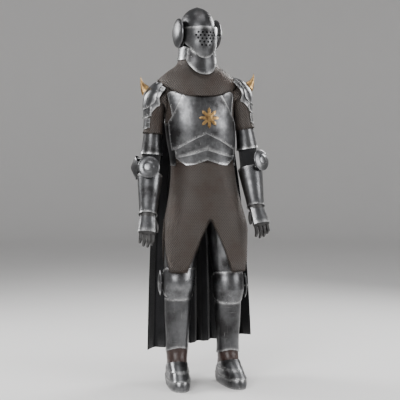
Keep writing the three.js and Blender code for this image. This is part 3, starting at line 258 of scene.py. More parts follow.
VECTOR = "NodeSocketVector"
FLOAT = "NodeSocketFloat"
GROUPS = {
    "Steel wear": (
        [("Vector", VECTOR, None), ("Rim", FLOAT, 0.0), ("Patch Scale", FLOAT, 9.0),
         ("Dent Scale", FLOAT, 30.0)],
        [("Patches", FLOAT), ("Bright", FLOAT), ("Height", FLOAT)], build_wear),
    "Mail rings": (
        [("Vector", VECTOR, None), ("Place", VECTOR, None), ("Pitch", FLOAT, 0.0095)],
        [("Height", FLOAT), ("Metal", FLOAT), ("Rust", FLOAT)], build_rings),
    "Cloth weave": (
        [("Vector", VECTOR, None), ("Place", VECTOR, None), ("Threads", FLOAT, 4200.0)],
        [("Height", FLOAT), ("Shade", FLOAT)], build_weave),
    "Leather grain": (
        [("Vector", VECTOR, None), ("Cell Scale", FLOAT, 420.0)],
        [("Height", FLOAT), ("Scuffs", FLOAT)], build_grain),
}


def group_tree(name):
    return bpy.data.node_groups.get(name) or shader_group(name, *GROUPS[name])


def start_material(name, roughness, metallic=0.0):
    made = bpy.data.materials.new(name)
    made.use_nodes = True
    nodes = Nodes(made.node_tree)
    shader = made.node_tree.nodes["Principled BSDF"]
    shader.inputs["Roughness"].default_value = roughness
    shader.inputs["Metallic"].default_value = metallic
    return made, nodes, shader


def place_group(nodes, name, inputs):
    made = nodes.add("ShaderNodeGroup", node_tree=group_tree(name))
    for label, value in inputs.items():
        nodes.feed(made.inputs[label], value)
    return made.outputs


def bump(nodes, shader, height, strength, distance):
    made = nodes.add("ShaderNodeBump", {"Height": height, "Strength": strength, "Distance": distance})
    nodes.feed(shader.inputs["Normal"], made.outputs[0])


def object_place(nodes):
    return nodes.add("ShaderNodeTexCoord").outputs["Object"]


def uv_place(nodes):
    return nodes.add("ShaderNodeUVMap", uv_map="wrap").outputs[0]


def steel_material(name, base, patina, worn, roughness=0.3, patch_scale=9.0, dent_scale=30.0):
    made, nodes, shader = start_material(name, roughness, 1.0)
    rim = nodes.add("ShaderNodeAttribute", attribute_name="rim").outputs["Fac"]
    wear = place_group(nodes, "Steel wear", {
        "Vector": object_place(nodes), "Rim": rim, "Patch Scale": patch_scale, "Dent Scale": dent_scale})
    body = nodes.mix(wear["Patches"], colour(patina), colour(base))
    nodes.feed(shader.inputs["Base Color"], nodes.mix(wear["Bright"], body, colour(worn)))
    rough = nodes.maths("SUBTRACT", roughness + 0.16, nodes.maths("MULTIPLY", wear["Patches"], 0.17))
    nodes.feed(shader.inputs["Roughness"], rough)
    bump(nodes, shader, wear["Height"], 0.22, 0.004)
    return made


def mail_material(name):
    settings = bpy.context.scene.armour_mail
    made, nodes, shader = start_material(name, 0.5, 0.85)
    place = object_place(nodes)
    rings = place_group(nodes, "Mail rings", {
        "Vector": uv_place(nodes), "Place": place, "Pitch": settings.pitch})
    rusty = nodes.mix(rings["Rust"], colour(settings.ring), (0.088, 0.06, 0.047, 1.0))
    nodes.feed(shader.inputs["Base Color"], nodes.mix(rings["Metal"], colour(settings.shade), rusty))
    nodes.feed(shader.inputs["Metallic"], nodes.maths("MULTIPLY", rings["Metal"], 0.8))
    bump(nodes, shader, rings["Height"], 0.9, 0.0022)
    return made


def cloth_material(name, base, threads=3600.0):
    made, nodes, shader = start_material(name, 0.92)
    shader.inputs["Sheen Weight"].default_value = 0.25
    shader.inputs["Sheen Roughness"].default_value = 0.5
    shader.inputs["Specular IOR Level"].default_value = 0.2
    weave = place_group(nodes, "Cloth weave", {
        "Vector": uv_place(nodes), "Place": object_place(nodes), "Threads": threads})
    lighter = [min(channel * 1.9 + 0.003, 1.0) for channel in base]
    nodes.feed(shader.inputs["Base Color"], nodes.mix(weave["Shade"], colour(base), colour(lighter)))
    bump(nodes, shader, weave["Height"], 0.35, 0.0008)
    return made


def leather_material(name, base, roughness, scuff):
    made, nodes, shader = start_material(name, roughness)
    grain = place_group(nodes, "Leather grain", {"Vector": object_place(nodes), "Cell Scale": 420.0})
    nodes.feed(shader.inputs["Base Color"], nodes.mix(grain["Scuffs"], colour(base), colour(scuff)))
    rough = nodes.maths("ADD", roughness - 0.06, nodes.maths("MULTIPLY", grain["Scuffs"], 0.18))
    nodes.feed(shader.inputs["Roughness"], rough)
    bump(nodes, shader, grain["Height"], 0.4, 0.0012)
    return made


def finish_of(name):
    """A material by its short name, made once from the settings."""
    full = f"armour_{name}"
    return bpy.data.materials.get(full) or FINISHES[name](full)


def bright_steel(name):
    steel = bpy.context.scene.armour_steel
    return steel_material(name, steel.polished, steel.patina, steel.worn, 0.27)


def dark_steel(name):
    steel = bpy.context.scene.armour_steel
    # A darker copy of the same steel: painted shade for the skull, bevor, discs, backplate and greaves.
    dim = [channel * 0.62 for channel in steel.polished]
    return steel_material(name, dim, steel.patina, steel.worn, 0.3, 7.0, 24.0)


def rolled_steel(name):
    steel = bpy.context.scene.armour_steel
    bright = [channel * 0.75 for channel in steel.worn]
    return steel_material(name, bright, steel.polished, (0.7, 0.7, 0.69), 0.24, 40.0)


def gilding(name):
    gilt = bpy.context.scene.armour_gilt
    return steel_material(name, gilt.gold, gilt.tarnish, (0.8, 0.6, 0.33), 0.34, 45.0, 60.0)


def mail_wire(name):
    mail = bpy.context.scene.armour_mail
    return steel_material(name, mail.ring, mail.shade, (0.4, 0.38, 0.36), 0.4)


def black_wool(name):
    return cloth_material(name, bpy.context.scene.armour_cloth.cloth)


def glove_leather(name):
    return leather_material(name, bpy.context.scene.armour_cloth.glove, 0.5, (0.05, 0.048, 0.046))


def boot_leather(name):
    return leather_material(name, bpy.context.scene.armour_cloth.boot, 0.42, (0.06, 0.034, 0.027))


FINISHES = {
    "steel": bright_steel,
    "dark_steel": dark_steel,
    "rolled_steel": rolled_steel,
    "gilt": gilding,
    "mail": mail_material,
    "mail_wire": mail_wire,
    "black_cloth": black_wool,
    "black_leather": glove_leather,
    "boot_leather": boot_leather,
}


# Walls, from the frame's nodes
def nearest_inside(point, limb):
    """The point of a limb's inner line that lies nearest."""
    line = [Vector(corner) for corner in LIMBS[limb]]
    best = None
    for start, end in zip(line, line[1:]):
        along = end - start
        share = max(0.0, min(1.0, (point - start).dot(along) / along.length_squared))
        found = start + along * share
        if best is None or (found - point).length < (best - point).length:
            best = found
    return best


SHARP = math.radians(50)
# Plates with a keel down the middle keep a softer angle sharp too.
KEELED = {
    "breastplate": math.radians(24),
    "waist_lame_upper": math.radians(20),
    "waist_lame_lower": math.radians(20),
    "helmet_skull": math.radians(38),
}
RIM_WIDTH = 0.0031


def is_rim(face):
    return min(edge.calc_length() for edge in face.edges) < RIM_WIDTH


def prepare(mesh, limb, sharp=SHARP):
    """Joins a loose copy into quads, creases its sharp edges and marks its outer rims as seams."""
    work = bmesh.new()
    work.from_mesh(mesh)
    bmesh.ops.remove_doubles(work, verts=work.verts, dist=2e-5)
    bmesh.ops.join_triangles(work, faces=work.faces[:], angle_face_threshold=math.radians(35),
                             angle_shape_threshold=math.radians(70))
    crease = work.edges.layers.float.new("crease_edge")
    for edge in work.edges:
        edge.seam = False
        if len(edge.link_faces) != 2 or edge.calc_face_angle(0.0) < sharp:
            continue
        edge[crease] = 1.0
        rims = [is_rim(face) for face in edge.link_faces]
        if rims[0] == rims[1] or limb is None or edge.calc_length() < RIM_WIDTH:
            continue
        wall = edge.link_faces[0 if rims[1] else 1]
        middle = (edge.verts[0].co + edge.verts[1].co) / 2
        edge.seam = wall.normal.dot(middle - nearest_inside(middle, limb)) > 0
    made = bpy.data.meshes.new(mesh.name)
    work.to_mesh(made)
    work.free()
    return made


def baked(name, mesh, add_modifiers):
    """A mesh with modifiers worked into it."""
    holder = bpy.data.objects.new(name, mesh)
    bpy.context.scene.collection.objects.link(holder)
    add_modifiers(holder)
    seen = holder.evaluated_get(bpy.context.evaluated_depsgraph_get())
    made = bpy.data.meshes.new_from_object(seen, depsgraph=bpy.context.evaluated_depsgraph_get())
    bpy.data.objects.remove(holder)
    return made


LEVELS = 2


def subdivided(holder):
    made = holder.modifiers.new("fine", "SUBSURF")
    made.levels = LEVELS
    made.render_levels = LEVELS


def dent(mesh, limb, depth, size=14.0):
    """Moves both walls of a plate in and out together."""
    for vertex in mesh.vertices:
        away = (vertex.co - nearest_inside(vertex.co, limb)).normalized()
        vertex.co += away * (noise.noise(vertex.co * size) * depth)


RIM_WEAR_REACH = 0.007


def store_rim(mesh):
    """Keeps how near each point is to a rim, for the worn edges."""
    ends = {corner for edge in mesh.edges if edge.use_seam for corner in edge.vertices}
    layer = mesh.attributes.new("rim", "FLOAT", "POINT")
    if not ends:
        return
    tree = KDTree(len(ends))
    for corner in ends:
        tree.insert(mesh.vertices[corner].co, corner)
    tree.balance()
    for vertex in mesh.vertices:
        distance = tree.find(vertex.co)[2]
        layer.data[vertex.index].value = math.exp(-((distance / RIM_WEAR_REACH) ** 2))


def smooth(mesh, angle=38):
    mesh.shade_smooth()
    mesh.set_sharp_from_angle(angle=math.radians(angle))


def piece(name, mesh, finish, body="suit", nodes=()):
    """A finished piece of the suit, riding on its body."""
    mesh.materials.clear()
    mesh.materials.append(finish_of(finish))
    for polygon in mesh.polygons:
        polygon.material_index = 0
    made = bpy.data.objects.new(name, mesh)
    bpy.context.scene.collection.objects.link(made)
    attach(made, body)
    if nodes:
        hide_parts(*nodes)
    return made


def wall_mesh(node, limb, dents=0.0):
    """A finer copy of a node, with its outer rims marked as seams."""
    sharp = KEELED.get(node, SHARP)
    mesh = baked(node, prepare(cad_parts[node].data, limb, sharp), subdivided)
    if dents:
        dent(mesh, limb, dents)
    return mesh


# Rolled rims and rivets along them
def rim_lines(mesh, inset=0.0):
    """The outer rim edges of a wall as lines, moved onto the wall by an inset."""
    work = bmesh.new()
    work.from_mesh(mesh)
    rims = [edge for edge in work.edges if edge.seam]
    places = {}
    for edge in rims:
        for corner in edge.verts:
            places.setdefault(corner, []).append(edge)
    points = []
    number = {}
    for corner, edges in places.items():
        along = (edges[0].other_vert(corner).co - corner.co).normalized()
        walls = dict.fromkeys(face for edge in edges for face in edge.link_faces if not is_thin(face, edge))
        inward = Vector()
        for face in walls:
            inward += face.calc_center_median() - corner.co
        inward -= along * inward.dot(along)
        number[corner] = len(points)
        points.append(corner.co + (inward.normalized() * inset if inward.length > 0 else inward))
    lines = [(number[edge.verts[0]], number[edge.verts[1]]) for edge in rims]
    work.free()
    return points, lines


# A face this narrow beside a rim's edge is the wall's end, not its outside.
END_FACE_WIDTH = 0.0007


def is_thin(face, edge):
    return face.calc_area() / max(edge.calc_length(), 1e-6) < END_FACE_WIDTH


def line_mesh(name, parts):
    points = []
    lines = []
    for part_points, part_lines in parts:
        start = len(points)
        points += part_points
        lines += [(first + start, second + start) for first, second in part_lines]
    mesh = bpy.data.meshes.new(name)
    mesh.from_pydata(points, lines, [])
    return mesh


def geometry_group(name, sockets, build):
    found = bpy.data.node_groups.get(name)
    if found:
        return found
    tree = bpy.data.node_groups.new(name, "GeometryNodeTree")
    tree.interface.new_socket("Geometry", in_out="INPUT", socket_type="NodeSocketGeometry")
    for label, kind, default in sockets:
        socket = tree.interface.new_socket(label, in_out="INPUT", socket_type=kind)
        if default is not None:
            socket.default_value = default
    tree.interface.new_socket("Geometry", in_out="OUTPUT", socket_type="NodeSocketGeometry")
    nodes = Nodes(tree)
    start = nodes.add("NodeGroupInput")
    end = nodes.add("NodeGroupOutput")
    shape = build(nodes, start.outputs)
    real = nodes.add("GeometryNodeRealizeInstances", {"Geometry": shape})
    soft = nodes.add("GeometryNodeSetShadeSmooth", {"Geometry": real.outputs[0]})
    painted = nodes.add("GeometryNodeSetMaterial", {
        "Geometry": soft.outputs[0], "Material": start.outputs["Material"]})
    nodes.feed(end.inputs[0], painted.outputs[0])
    return tree


def build_rolled(nodes, given):
    """A round bead along each line."""
    curve = nodes.add("GeometryNodeMeshToCurve", {"Mesh": given["Geometry"]})
    section = nodes.add("GeometryNodeCurvePrimitiveCircle", {"Resolution": 6, "Radius": given["Radius"]})
    swept = nodes.add("GeometryNodeCurveToMesh", {
        "Curve": curve.outputs[0], "Profile Curve": section.outputs[0], "Fill Caps": True})
    return swept.outputs[0]


def build_studs(nodes, given):
    """Domed heads at even steps along each line."""
    curve = nodes.add("GeometryNodeMeshToCurve", {"Mesh": given["Geometry"]})
    even = nodes.add("GeometryNodeResampleCurve", {
        "Curve": curve.outputs[0], "Length": given["Spacing"]}, mode="LENGTH")
    head = nodes.add("GeometryNodeMeshUVSphere", {"Segments": 10, "Rings": 6, "Radius": given["Radius"]})
    placed = nodes.add("GeometryNodeInstanceOnPoints", {
        "Points": even.outputs[0], "Instance": head.outputs["Mesh"]})
    return placed.outputs[0]


def build_links(nodes, given):
    """Rings hung along each line, every second one turned."""
    curve = nodes.add("GeometryNodeMeshToCurve", {"Mesh": given["Geometry"]})
    even = nodes.add("GeometryNodeResampleCurve", {
        "Curve": curve.outputs[0], "Length": given["Spacing"]}, mode="LENGTH")
    loop = nodes.add("GeometryNodeCurvePrimitiveCircle", {"Resolution": 10, "Radius": given["Radius"]})
    wire = nodes.add("GeometryNodeCurvePrimitiveCircle", {"Resolution": 4, "Radius": given["Wire"]})
    ring = nodes.add("GeometryNodeCurveToMesh", {"Curve": loop.outputs[0], "Profile Curve": wire.outputs[0]})
    tangent = nodes.add("GeometryNodeInputTangent")
    facing = nodes.add("FunctionNodeAlignEulerToVector", {"Vector": tangent.outputs[0]}, axis="X")
    index = nodes.add("GeometryNodeInputIndex")
    odd = nodes.add("ShaderNodeMath", operation="MODULO")
    nodes.feed(odd.inputs[0], index.outputs[0])
    nodes.feed(odd.inputs[1], 2.0)
    lean = nodes.add("ShaderNodeMath", operation="MULTIPLY_ADD")
    nodes.feed(lean.inputs[0], odd.outputs[0])
    nodes.feed(lean.inputs[1], 0.9)
    nodes.feed(lean.inputs[2], math.radians(64))
    turn = nodes.add("ShaderNodeCombineXYZ", {"X": lean.outputs[0]})
    placed = nodes.add("GeometryNodeInstanceOnPoints", {
        "Points": even.outputs[0], "Instance": ring.outputs[0], "Rotation": facing.outputs[0]})
    turned = nodes.add("GeometryNodeRotateInstances", {
        "Instances": placed.outputs[0], "Rotation": turn.outputs[0], "Local Space": True})
    return turned.outputs[0]


RADIUS = ("Radius", FLOAT, 0.0015)
SPACING = ("Spacing", FLOAT, 0.045)
MATERIAL = ("Material", "NodeSocketMaterial", None)
LINE_TREES = {
    "Rolled rim": ([RADIUS, MATERIAL], build_rolled),
    "Rivet row": ([RADIUS, SPACING, MATERIAL], build_studs),
    "Ring row": ([RADIUS, SPACING, ("Wire", FLOAT, 0.0007), MATERIAL], build_links),
}


def along_lines(name, parts, tree_name, values, finish, body="suit"):
    """Runs a tree along lines and keeps its result as a plain piece."""
    sockets, build = LINE_TREES[tree_name]
    tree = geometry_group(tree_name, sockets, build)
    given = {**values, "Material": finish_of(finish)}
    keys = {item.name: item.identifier for item in tree.interface.items_tree if item.in_out == "INPUT"}

    def add(holder):
        modifier = holder.modifiers.new("tree", "NODES")
        modifier.node_group = tree
        for label, value in given.items():
            modifier[keys[label]] = value

    mesh = baked(name, line_mesh(f"{name}_lines", parts), add)
    if len(mesh.polygons) == 0:
        raise RuntimeError(f"{name} came out empty")
    mesh.attributes.new("rim", "FLOAT", "POINT")
    return piece(name, mesh, finish, body)


RIVET_INSET = 0.0085
# Plates painted darker as painted shade, and plates without rivets, by how their nodes' names start.
PAINTED_SHADE_PLATES = ("helmet_skull", "helmet_bevor", "helmet_disc", "backplate", "greave")
PLAIN_PLATES = ("helmet_skull", "helmet_disc", "couter_disc", "cuisse", "poleyn_wing", "greave")


def plates(group, limbs):
    """Plates of one group, each replacing its node, with the group's rolled rims and rivets."""
    settings = bpy.context.scene.armour_steel
    rim_parts = []
    rivet_parts = []
    for node, limb in limbs.items():
        mesh = wall_mesh(node, limb, dents=settings.dent)
        store_rim(mesh)
        rim_parts.append(rim_lines(mesh))
        if not node.startswith(PLAIN_PLATES):
            rivet_parts.append(rim_lines(mesh, RIVET_INSET))
        # The plates in PAINTED_SHADE_PLATES take the darker copy of the steel as painted shade.
        finish = "dark_steel" if node.startswith(PAINTED_SHADE_PLATES) else "steel"
        smooth(mesh)
        piece(f"{node}_plate", mesh, finish, nodes=[node])
    along_lines(f"{group}_rims", rim_parts, "Rolled rim", {"Radius": settings.rim}, "rolled_steel")
    along_lines(f"{group}_rivets", rivet_parts, "Rivet row",
                {"Radius": settings.rivet, "Spacing": settings.spacing}, "rolled_steel")


# Cloth, mail and leather
def wrap_map(mesh, start, end, radius, profile=None):
    """A map in metres: round the line from start to end, and along it or along a profile's length."""
    first, last = Vector(start), Vector(end)
    along = (last - first).normalized()
    front = Vector((0, -1, 0))
    front = (front - along * front.dot(along)).normalized()
    side = along.cross(front)
    layer = mesh.uv_layers.new(name="wrap")
    for polygon in mesh.polygons:
        turns = []
        for loop in polygon.loop_indices:
            away = mesh.vertices[mesh.loops[loop].vertex_index].co - first
            turns.append(math.atan2(away.dot(side), away.dot(front)))
        seam = max(turns) - min(turns) > math.pi
        for loop, turn in zip(polygon.loop_indices, turns):
            away = mesh.vertices[mesh.loops[loop].vertex_index].co - first
            length = away.dot(along)
            if profile:
                length = between(profile, length)
            whole = turn + 2 * math.pi if seam and turn < 0 else turn
            layer.data[loop].uv = (whole * radius, length)


def between(table, key):
    """A value between the rows of a sorted table."""
    if key <= table[0][0]:
        return table[0][1] + key - table[0][0]
    for (low, first), (high, second) in zip(table, table[1:]):
        if key <= high:
            return first + (second - first) * (key - low) / (high - low)
    return table[-1][1] + key - table[-1][0]


def flat_map(mesh):
    """A map in metres straight from the front."""
    layer = mesh.uv_layers.new(name="wrap")
    for loop in mesh.loops:
        place = mesh.vertices[loop.vertex_index].co
        layer.data[loop.index].uv = (place.x, place.z)


# Height over the origin, and the length down the mail's outside from there.
MAIL_PROFILE = ((-0.885, -0.885), (0.0, 0.0), (0.053, 0.054), (0.095, 0.12), (0.115, 0.165), (0.15, 0.203))
MAIL_ROWS = (
    ("hauberk_body", "trunk", 0.17, ((0, 0, 0), (0, 0, 1)), MAIL_PROFILE),
    ("hauberk_skirt", "trunk", 0.185, ((0.03, 0, 0), (0.03, 0, 1)), MAIL_PROFILE),
    ("mail_mantle", "trunk", 0.15, ((-0.008, 0, 0), (-0.008, 0, 1)), MAIL_PROFILE),
    ("sleeve_right", "arm_right", 0.055, ((-0.218, 0, -0.05), (-0.24, 0.005, -0.375)), None),
    ("sleeve_left", "arm_left", 0.055, ((0.212, 0, -0.025), (0.258, 0, -0.347)), None),
)
FOLD_DEPTH = 0.0022
FOLD_STRETCH = Vector((9.0, 9.0, 4.5))
# The edge rings' radius and spacing, as shares of the pitch, and their wire in metres.
LINK_RADIUS = 0.42
LINK_SPACING = 0.55
LINK_WIRE = 0.0008


def soft_folds(mesh, limb):
    """Slow upright waves, the same on both walls."""
    for vertex in mesh.vertices:
        away = vertex.co - nearest_inside(vertex.co, limb)
        away.z = 0
        vertex.co += away.normalized() * (noise.noise(vertex.co * FOLD_STRETCH) * FOLD_DEPTH)


class ARMOUR_OT_mail(bpy.types.Operator):
    """Hauberk, skirt, sleeves and mantle of mail, with a row of real rings along each free edge"""
    bl_idname = "armour.mail"
    bl_label = "Mail"

    def execute(self, context):
        hems = []
        for node, limb, radius, axis, profile in MAIL_ROWS:
            mesh = wall_mesh(node, limb)
            if node == "hauberk_skirt":
                soft_folds(mesh, limb)
            wrap_map(mesh, *axis, radius, profile)
            hems.append(rim_lines(mesh))
            smooth(mesh, 60)
            piece(f"{node}_mail", mesh, "mail", nodes=[node])
        pitch = context.scene.armour_mail.pitch
        along_lines("mail_edge_rings", hems, "Ring row",
                    {"Radius": pitch * LINK_RADIUS, "Spacing": pitch * LINK_SPACING, "Wire": LINK_WIRE},
                    "mail_wire")
        return {"FINISHED"}


# Each cloth tube: node, limb, its axis, mean radius in metres, and how long its flat cut is.
CLOTH_TUBES = (
    ("arming_sleeve_right", "arm_right", ((-0.24, 0.005, -0.3), (-0.25, -0.03, -0.47)), 0.05, 0.215),
    ("arming_sleeve_left", "arm_left", ((0.258, 0, -0.27), (0.26, -0.03, -0.44)), 0.05, 0.215),
    ("hose_right", "leg_right", ((-0.103, 0, -1.04), (-0.1, 0, -0.83)), 0.07, 0.18),
    ("hose_left", "leg_left", ((0.149, 0, -1.06), (0.149, 0, -0.85)), 0.07, 0.18),
)


class ARMOUR_OT_cloth(bpy.types.Operator):
    """Black arming sleeves at the elbows and hose behind the knees"""
    bl_idname = "armour.cloth"
    bl_label = "Sleeves and hose"

    def execute(self, context):
        for node, limb, axis, radius, length in CLOTH_TUBES:
            mesh = wall_mesh(node, limb)
            ring_creases(mesh, limb)
            wrap_map(mesh, *axis, radius)
            smooth(mesh, 60)
            made = piece(f"{node}_cloth", mesh, "black_cloth", nodes=[node])
        return {"FINISHED"}


def ring_creases(mesh, limb, depth=0.0016, pitch=0.021):
    """Soft level creases, uneven round the limb, the same on both walls."""
    for vertex in mesh.vertices:
        uneven = noise.noise(vertex.co * 11.0)
        wave = math.sin(2 * math.pi * (vertex.co.z / pitch + 1.3 * uneven))
        away = vertex.co - nearest_inside(vertex.co, limb)
        vertex.co -= away.normalized() * (depth * (0.5 + 0.5 * wave) * (0.6 + 0.4 * uneven))


class ARMOUR_OT_cape(bpy.types.Operator):
    """Black cape hung in folds behind the shoulders"""
    bl_idname = "armour.cape"
    bl_label = "Cape"

    def execute(self, context):
        mesh = baked("cape", prepare(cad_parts["cape"].data, None), subdivided)
        for vertex in mesh.vertices:
            hang = max(0.0, min(1.0, (-0.05 - vertex.co.z) / 0.5))
            place = Vector((vertex.co.x * 16.0, vertex.co.y * 3.0, vertex.co.z * 1.6))
            small = Vector((vertex.co.x * 34.0, 0.0, vertex.co.z * 4.0))
            vertex.co.y += hang * (noise.noise(place) * 0.006 + noise.noise(small) * 0.002)
        flat_map(mesh)
        smooth(mesh, 60)
        made = piece("cape_cloth", mesh, "black_cloth", nodes=["cape"])
        return {"FINISHED"}


class ARMOUR_OT_gloves(bpy.types.Operator):
    """Black leather gloves with curled fingers"""
    bl_idname = "armour.gloves"
    bl_label = "Gloves"

    def execute(self, context):
        for side in SIDES:
            node = f"glove_{side}"
            mesh = wall_mesh(node, None)
            for vertex in mesh.vertices:
                vertex.co += vertex.normal * (noise.noise(vertex.co * 75.0) * 0.0006)
            smooth(mesh, 80)
            piece(f"{node}_leather", mesh, "black_leather", nodes=[node])
        return {"FINISHED"}


class ARMOUR_OT_feet(bpy.types.Operator):
    """Dark red-brown boots and the steel sabatons over them"""
    bl_idname = "armour.feet"
    bl_label = "Boots and sabatons"

    def execute(self, context):
        for side in SIDES:
            node = f"boot_{side}"
            mesh = wall_mesh(node, f"leg_{side}")
            shaft_creases(mesh, f"leg_{side}")
            smooth(mesh, 50)
            piece(f"{node}_leather", mesh, "boot_leather", nodes=[node])
        plates("sabaton", {f"sabaton_{side}": f"leg_{side}" for side in SIDES})
        return {"FINISHED"}


def shaft_creases(mesh, limb):
    """Creases round the ankle, none at the sole."""
    for vertex in mesh.vertices:
        over = vertex.co.z - SOLE_HEIGHT
        share = max(0.0, 1.0 - abs(over - 0.15) / 0.06)
        wave = math.sin(2 * math.pi * (over / 0.024 + noise.noise(vertex.co * 9.0)))
        away = vertex.co - nearest_inside(vertex.co, limb)
        vertex.co -= away.normalized() * (0.0012 * share * (0.5 + 0.5 * wave))


# Plates
class ARMOUR_OT_helmet(bpy.types.Operator):
    """Helmet skull, bevor, neck guard and the round discs over the pivot"""
    bl_idname = "armour.helmet"
    bl_label = "Helmet"

    def execute(self, context):
        plates("helmet", dict.fromkeys((
            "helmet_skull", "helmet_bevor", "helmet_neck_guard", "helmet_disc_right",
            "helmet_disc_left"), "head"))
        return {"FINISHED"}


# The visor's surface, about the pivot line, in metres and degrees, as the frame has it.
VISOR = {"radius": 0.1335, "half": 0.0935, "chin_from": 15, "chin_span": 35, "chin_power": 1.6, "chin": 0.031}
VISOR_PLACE = Matrix.Translation((-0.008, 0, 0.281)) @ Matrix.Rotation(math.radians(9), 4, "Z")
VISOR_TOP = ((0, 10), (30, 11), (60, 18), (78, 48))
VISOR_BOTTOM = ((0, -50), (15, -49), (30, -45), (45, -42), (60, -44), (78, -52))
VISOR_SIDE = 78
VISOR_WALL = 0.002
VISOR_COLUMNS = 53
VISOR_ROWS = 17
# Breaths: degrees under the pivot line, first hole's angle across, count.
BREATHS = ((2, -24, 5), (8.5, -30, 6), (15, -24, 5), (21.5, -18, 4), (28, -12, 3))
BREATH_PITCH = 12
BREATH_RADIUS = 0.005
BREATH_INWARD = 0.012
BREATH_OUTWARD = 0.014
# Lugs: from and to, off the visor's side edge.
LUG_RADIUS = 0.031
LUG_FROM = -0.0003
LUG_TO = 0.0022
LUG_SIDES = 40
PIN_HOLE = 0.0047
PIN_FROM = 0.08
PIN_TO = 0.11
HOLE_SIDES = 14


def visor_point(across, up, off):
    chin = max(0.0, (-up - VISOR["chin_from"]) / VISOR["chin_span"]) ** VISOR["chin_power"] * VISOR["chin"]
    lean, rise = math.radians(across), math.radians(up)
    round_off = (VISOR["radius"] + chin + off) * math.cos(lean)
    out = (VISOR["half"] + off) * math.sin(lean)
    return Vector((out, -round_off * math.cos(rise), round_off * math.sin(rise)))


def visor_shell():
    """The visor's wall with its outer rims marked."""
    work = bmesh.new()
    walls = []
    for off in (VISOR_WALL, 0.0):
        grid = []
        for row in range(VISOR_ROWS):
            line = []
            for column in range(VISOR_COLUMNS):
                across = VISOR_SIDE * (2 * column / (VISOR_COLUMNS - 1) - 1)
                low, high = between(VISOR_BOTTOM, abs(across)), between(VISOR_TOP, abs(across))
                up = low + (high - low) * row / (VISOR_ROWS - 1)
                line.append(work.verts.new(visor_point(across, up, off)))
            grid.append(line)
        walls.append(grid)
    outer, inner = walls
    for row in range(VISOR_ROWS - 1):
        for column in range(VISOR_COLUMNS - 1):
            for grid, turn in ((outer, 1), (inner, -1)):
                low, high = grid[row], grid[row + 1]
                corners = [low[column], low[column + 1], high[column + 1], high[column]]
                work.faces.new(corners[::turn])
    rounds = [outer[0], [line[-1] for line in outer], outer[-1][::-1], [line[0] for line in outer][::-1]]
    backs = [inner[0], [line[-1] for line in inner], inner[-1][::-1], [line[0] for line in inner][::-1]]
    for front, back in zip(rounds, backs):
        for step in range(len(front) - 1):
            work.faces.new([front[step + 1], front[step], back[step], back[step + 1]])
            work.edges.get((front[step], front[step + 1])).seam = True
    bmesh.ops.recalc_face_normals(work, faces=work.faces[:])
    mesh = bpy.data.meshes.new("visor_shell")
    work.to_mesh(mesh)
    work.free()
    return mesh


def rods(name, places, sides):
    """Straight rods from one point to another: rows of start, end and radius."""
    work = bmesh.new()
    for start, end, radius in places:
        along = end - start
        turn = along.to_track_quat("Z", "Y").to_matrix().to_4x4()
        bmesh.ops.create_cone(work, cap_ends=True, segments=sides, radius1=radius, radius2=radius,
                              depth=along.length, matrix=Matrix.Translation((start + end) / 2) @ turn)
    mesh = bpy.data.meshes.new(name)
    work.to_mesh(mesh)
    work.free()
    return mesh


def cut_by(cutter_mesh, operation="DIFFERENCE"):
    def add(holder):
        cutter = bpy.data.objects.new(f"{holder.name}_cutter", cutter_mesh)
        bpy.context.scene.collection.objects.link(cutter)
        made = holder.modifiers.new("cut", "BOOLEAN")
        made.object = cutter
        made.operation = operation
        made.solver = "EXACT"
    return add


def bored(name, mesh, cutter_mesh, operation="DIFFERENCE"):
    made = baked(name, mesh, cut_by(cutter_mesh, operation))
    bpy.data.objects.remove(bpy.data.objects[f"{name}_cutter"])
    return made


class ARMOUR_OT_visor(bpy.types.Operator):
    """The visor, with its round breaths, pivot lugs and rolled rims"""
    bl_idname = "armour.visor"
    bl_label = "Visor"

    def execute(self, context):
        settings = context.scene.armour_steel
        shell = visor_shell()
        shell.transform(VISOR_PLACE)
        rims = rim_lines(shell)
        edge = visor_point(VISOR_SIDE, 0, 0).x
        lugs = rods("lugs", [
            (Vector((side * (edge + LUG_FROM), 0, 0)), Vector((side * (edge + LUG_TO), 0, 0)), LUG_RADIUS)
            for side in (-1, 1)], LUG_SIDES)
        holes = []
        for down, first, count in BREATHS:
            for hole in range(count):
                across = first + hole * BREATH_PITCH
                start = visor_point(across, -down, -BREATH_INWARD)
                end = visor_point(across, -down, BREATH_OUTWARD)
                holes.append((start, end, BREATH_RADIUS))
        for side in (-1, 1):
            holes.append((Vector((side * PIN_FROM, 0, 0)), Vector((side * PIN_TO, 0, 0)), PIN_HOLE))
        cutters = rods("breaths", holes, HOLE_SIDES)
        lugs.transform(VISOR_PLACE)
        cutters.transform(VISOR_PLACE)
        whole = bored("visor_joined", shell, lugs, "UNION")
        mesh = bored("visor_bored", whole, cutters)
        dent(mesh, "head", settings.dent)
        store_rim(mesh)
        smooth(mesh, 35)
        piece("visor_plate", mesh, "steel", "visor", ["helmet_visor"])
        along_lines("visor_rims", [rims], "Rolled rim", {"Radius": settings.rim},
                    "rolled_steel", "visor")
        return {"FINISHED"}


class ARMOUR_OT_trunk(bpy.types.Operator):
    """Breastplate, waist lames, gussets and backplate"""
    bl_idname = "armour.trunk"
    bl_label = "Breast and back"

    def execute(self, context):
        plates("trunk", dict.fromkeys((
            "breastplate", "waist_lame_upper", "waist_lame_lower", "breast_gusset_right",
            "breast_gusset_left", "backplate"), "trunk"))
        return {"FINISHED"}


ROSETTE_BEADS = 18
ROSETTE_BEAD_RING = 0.0215


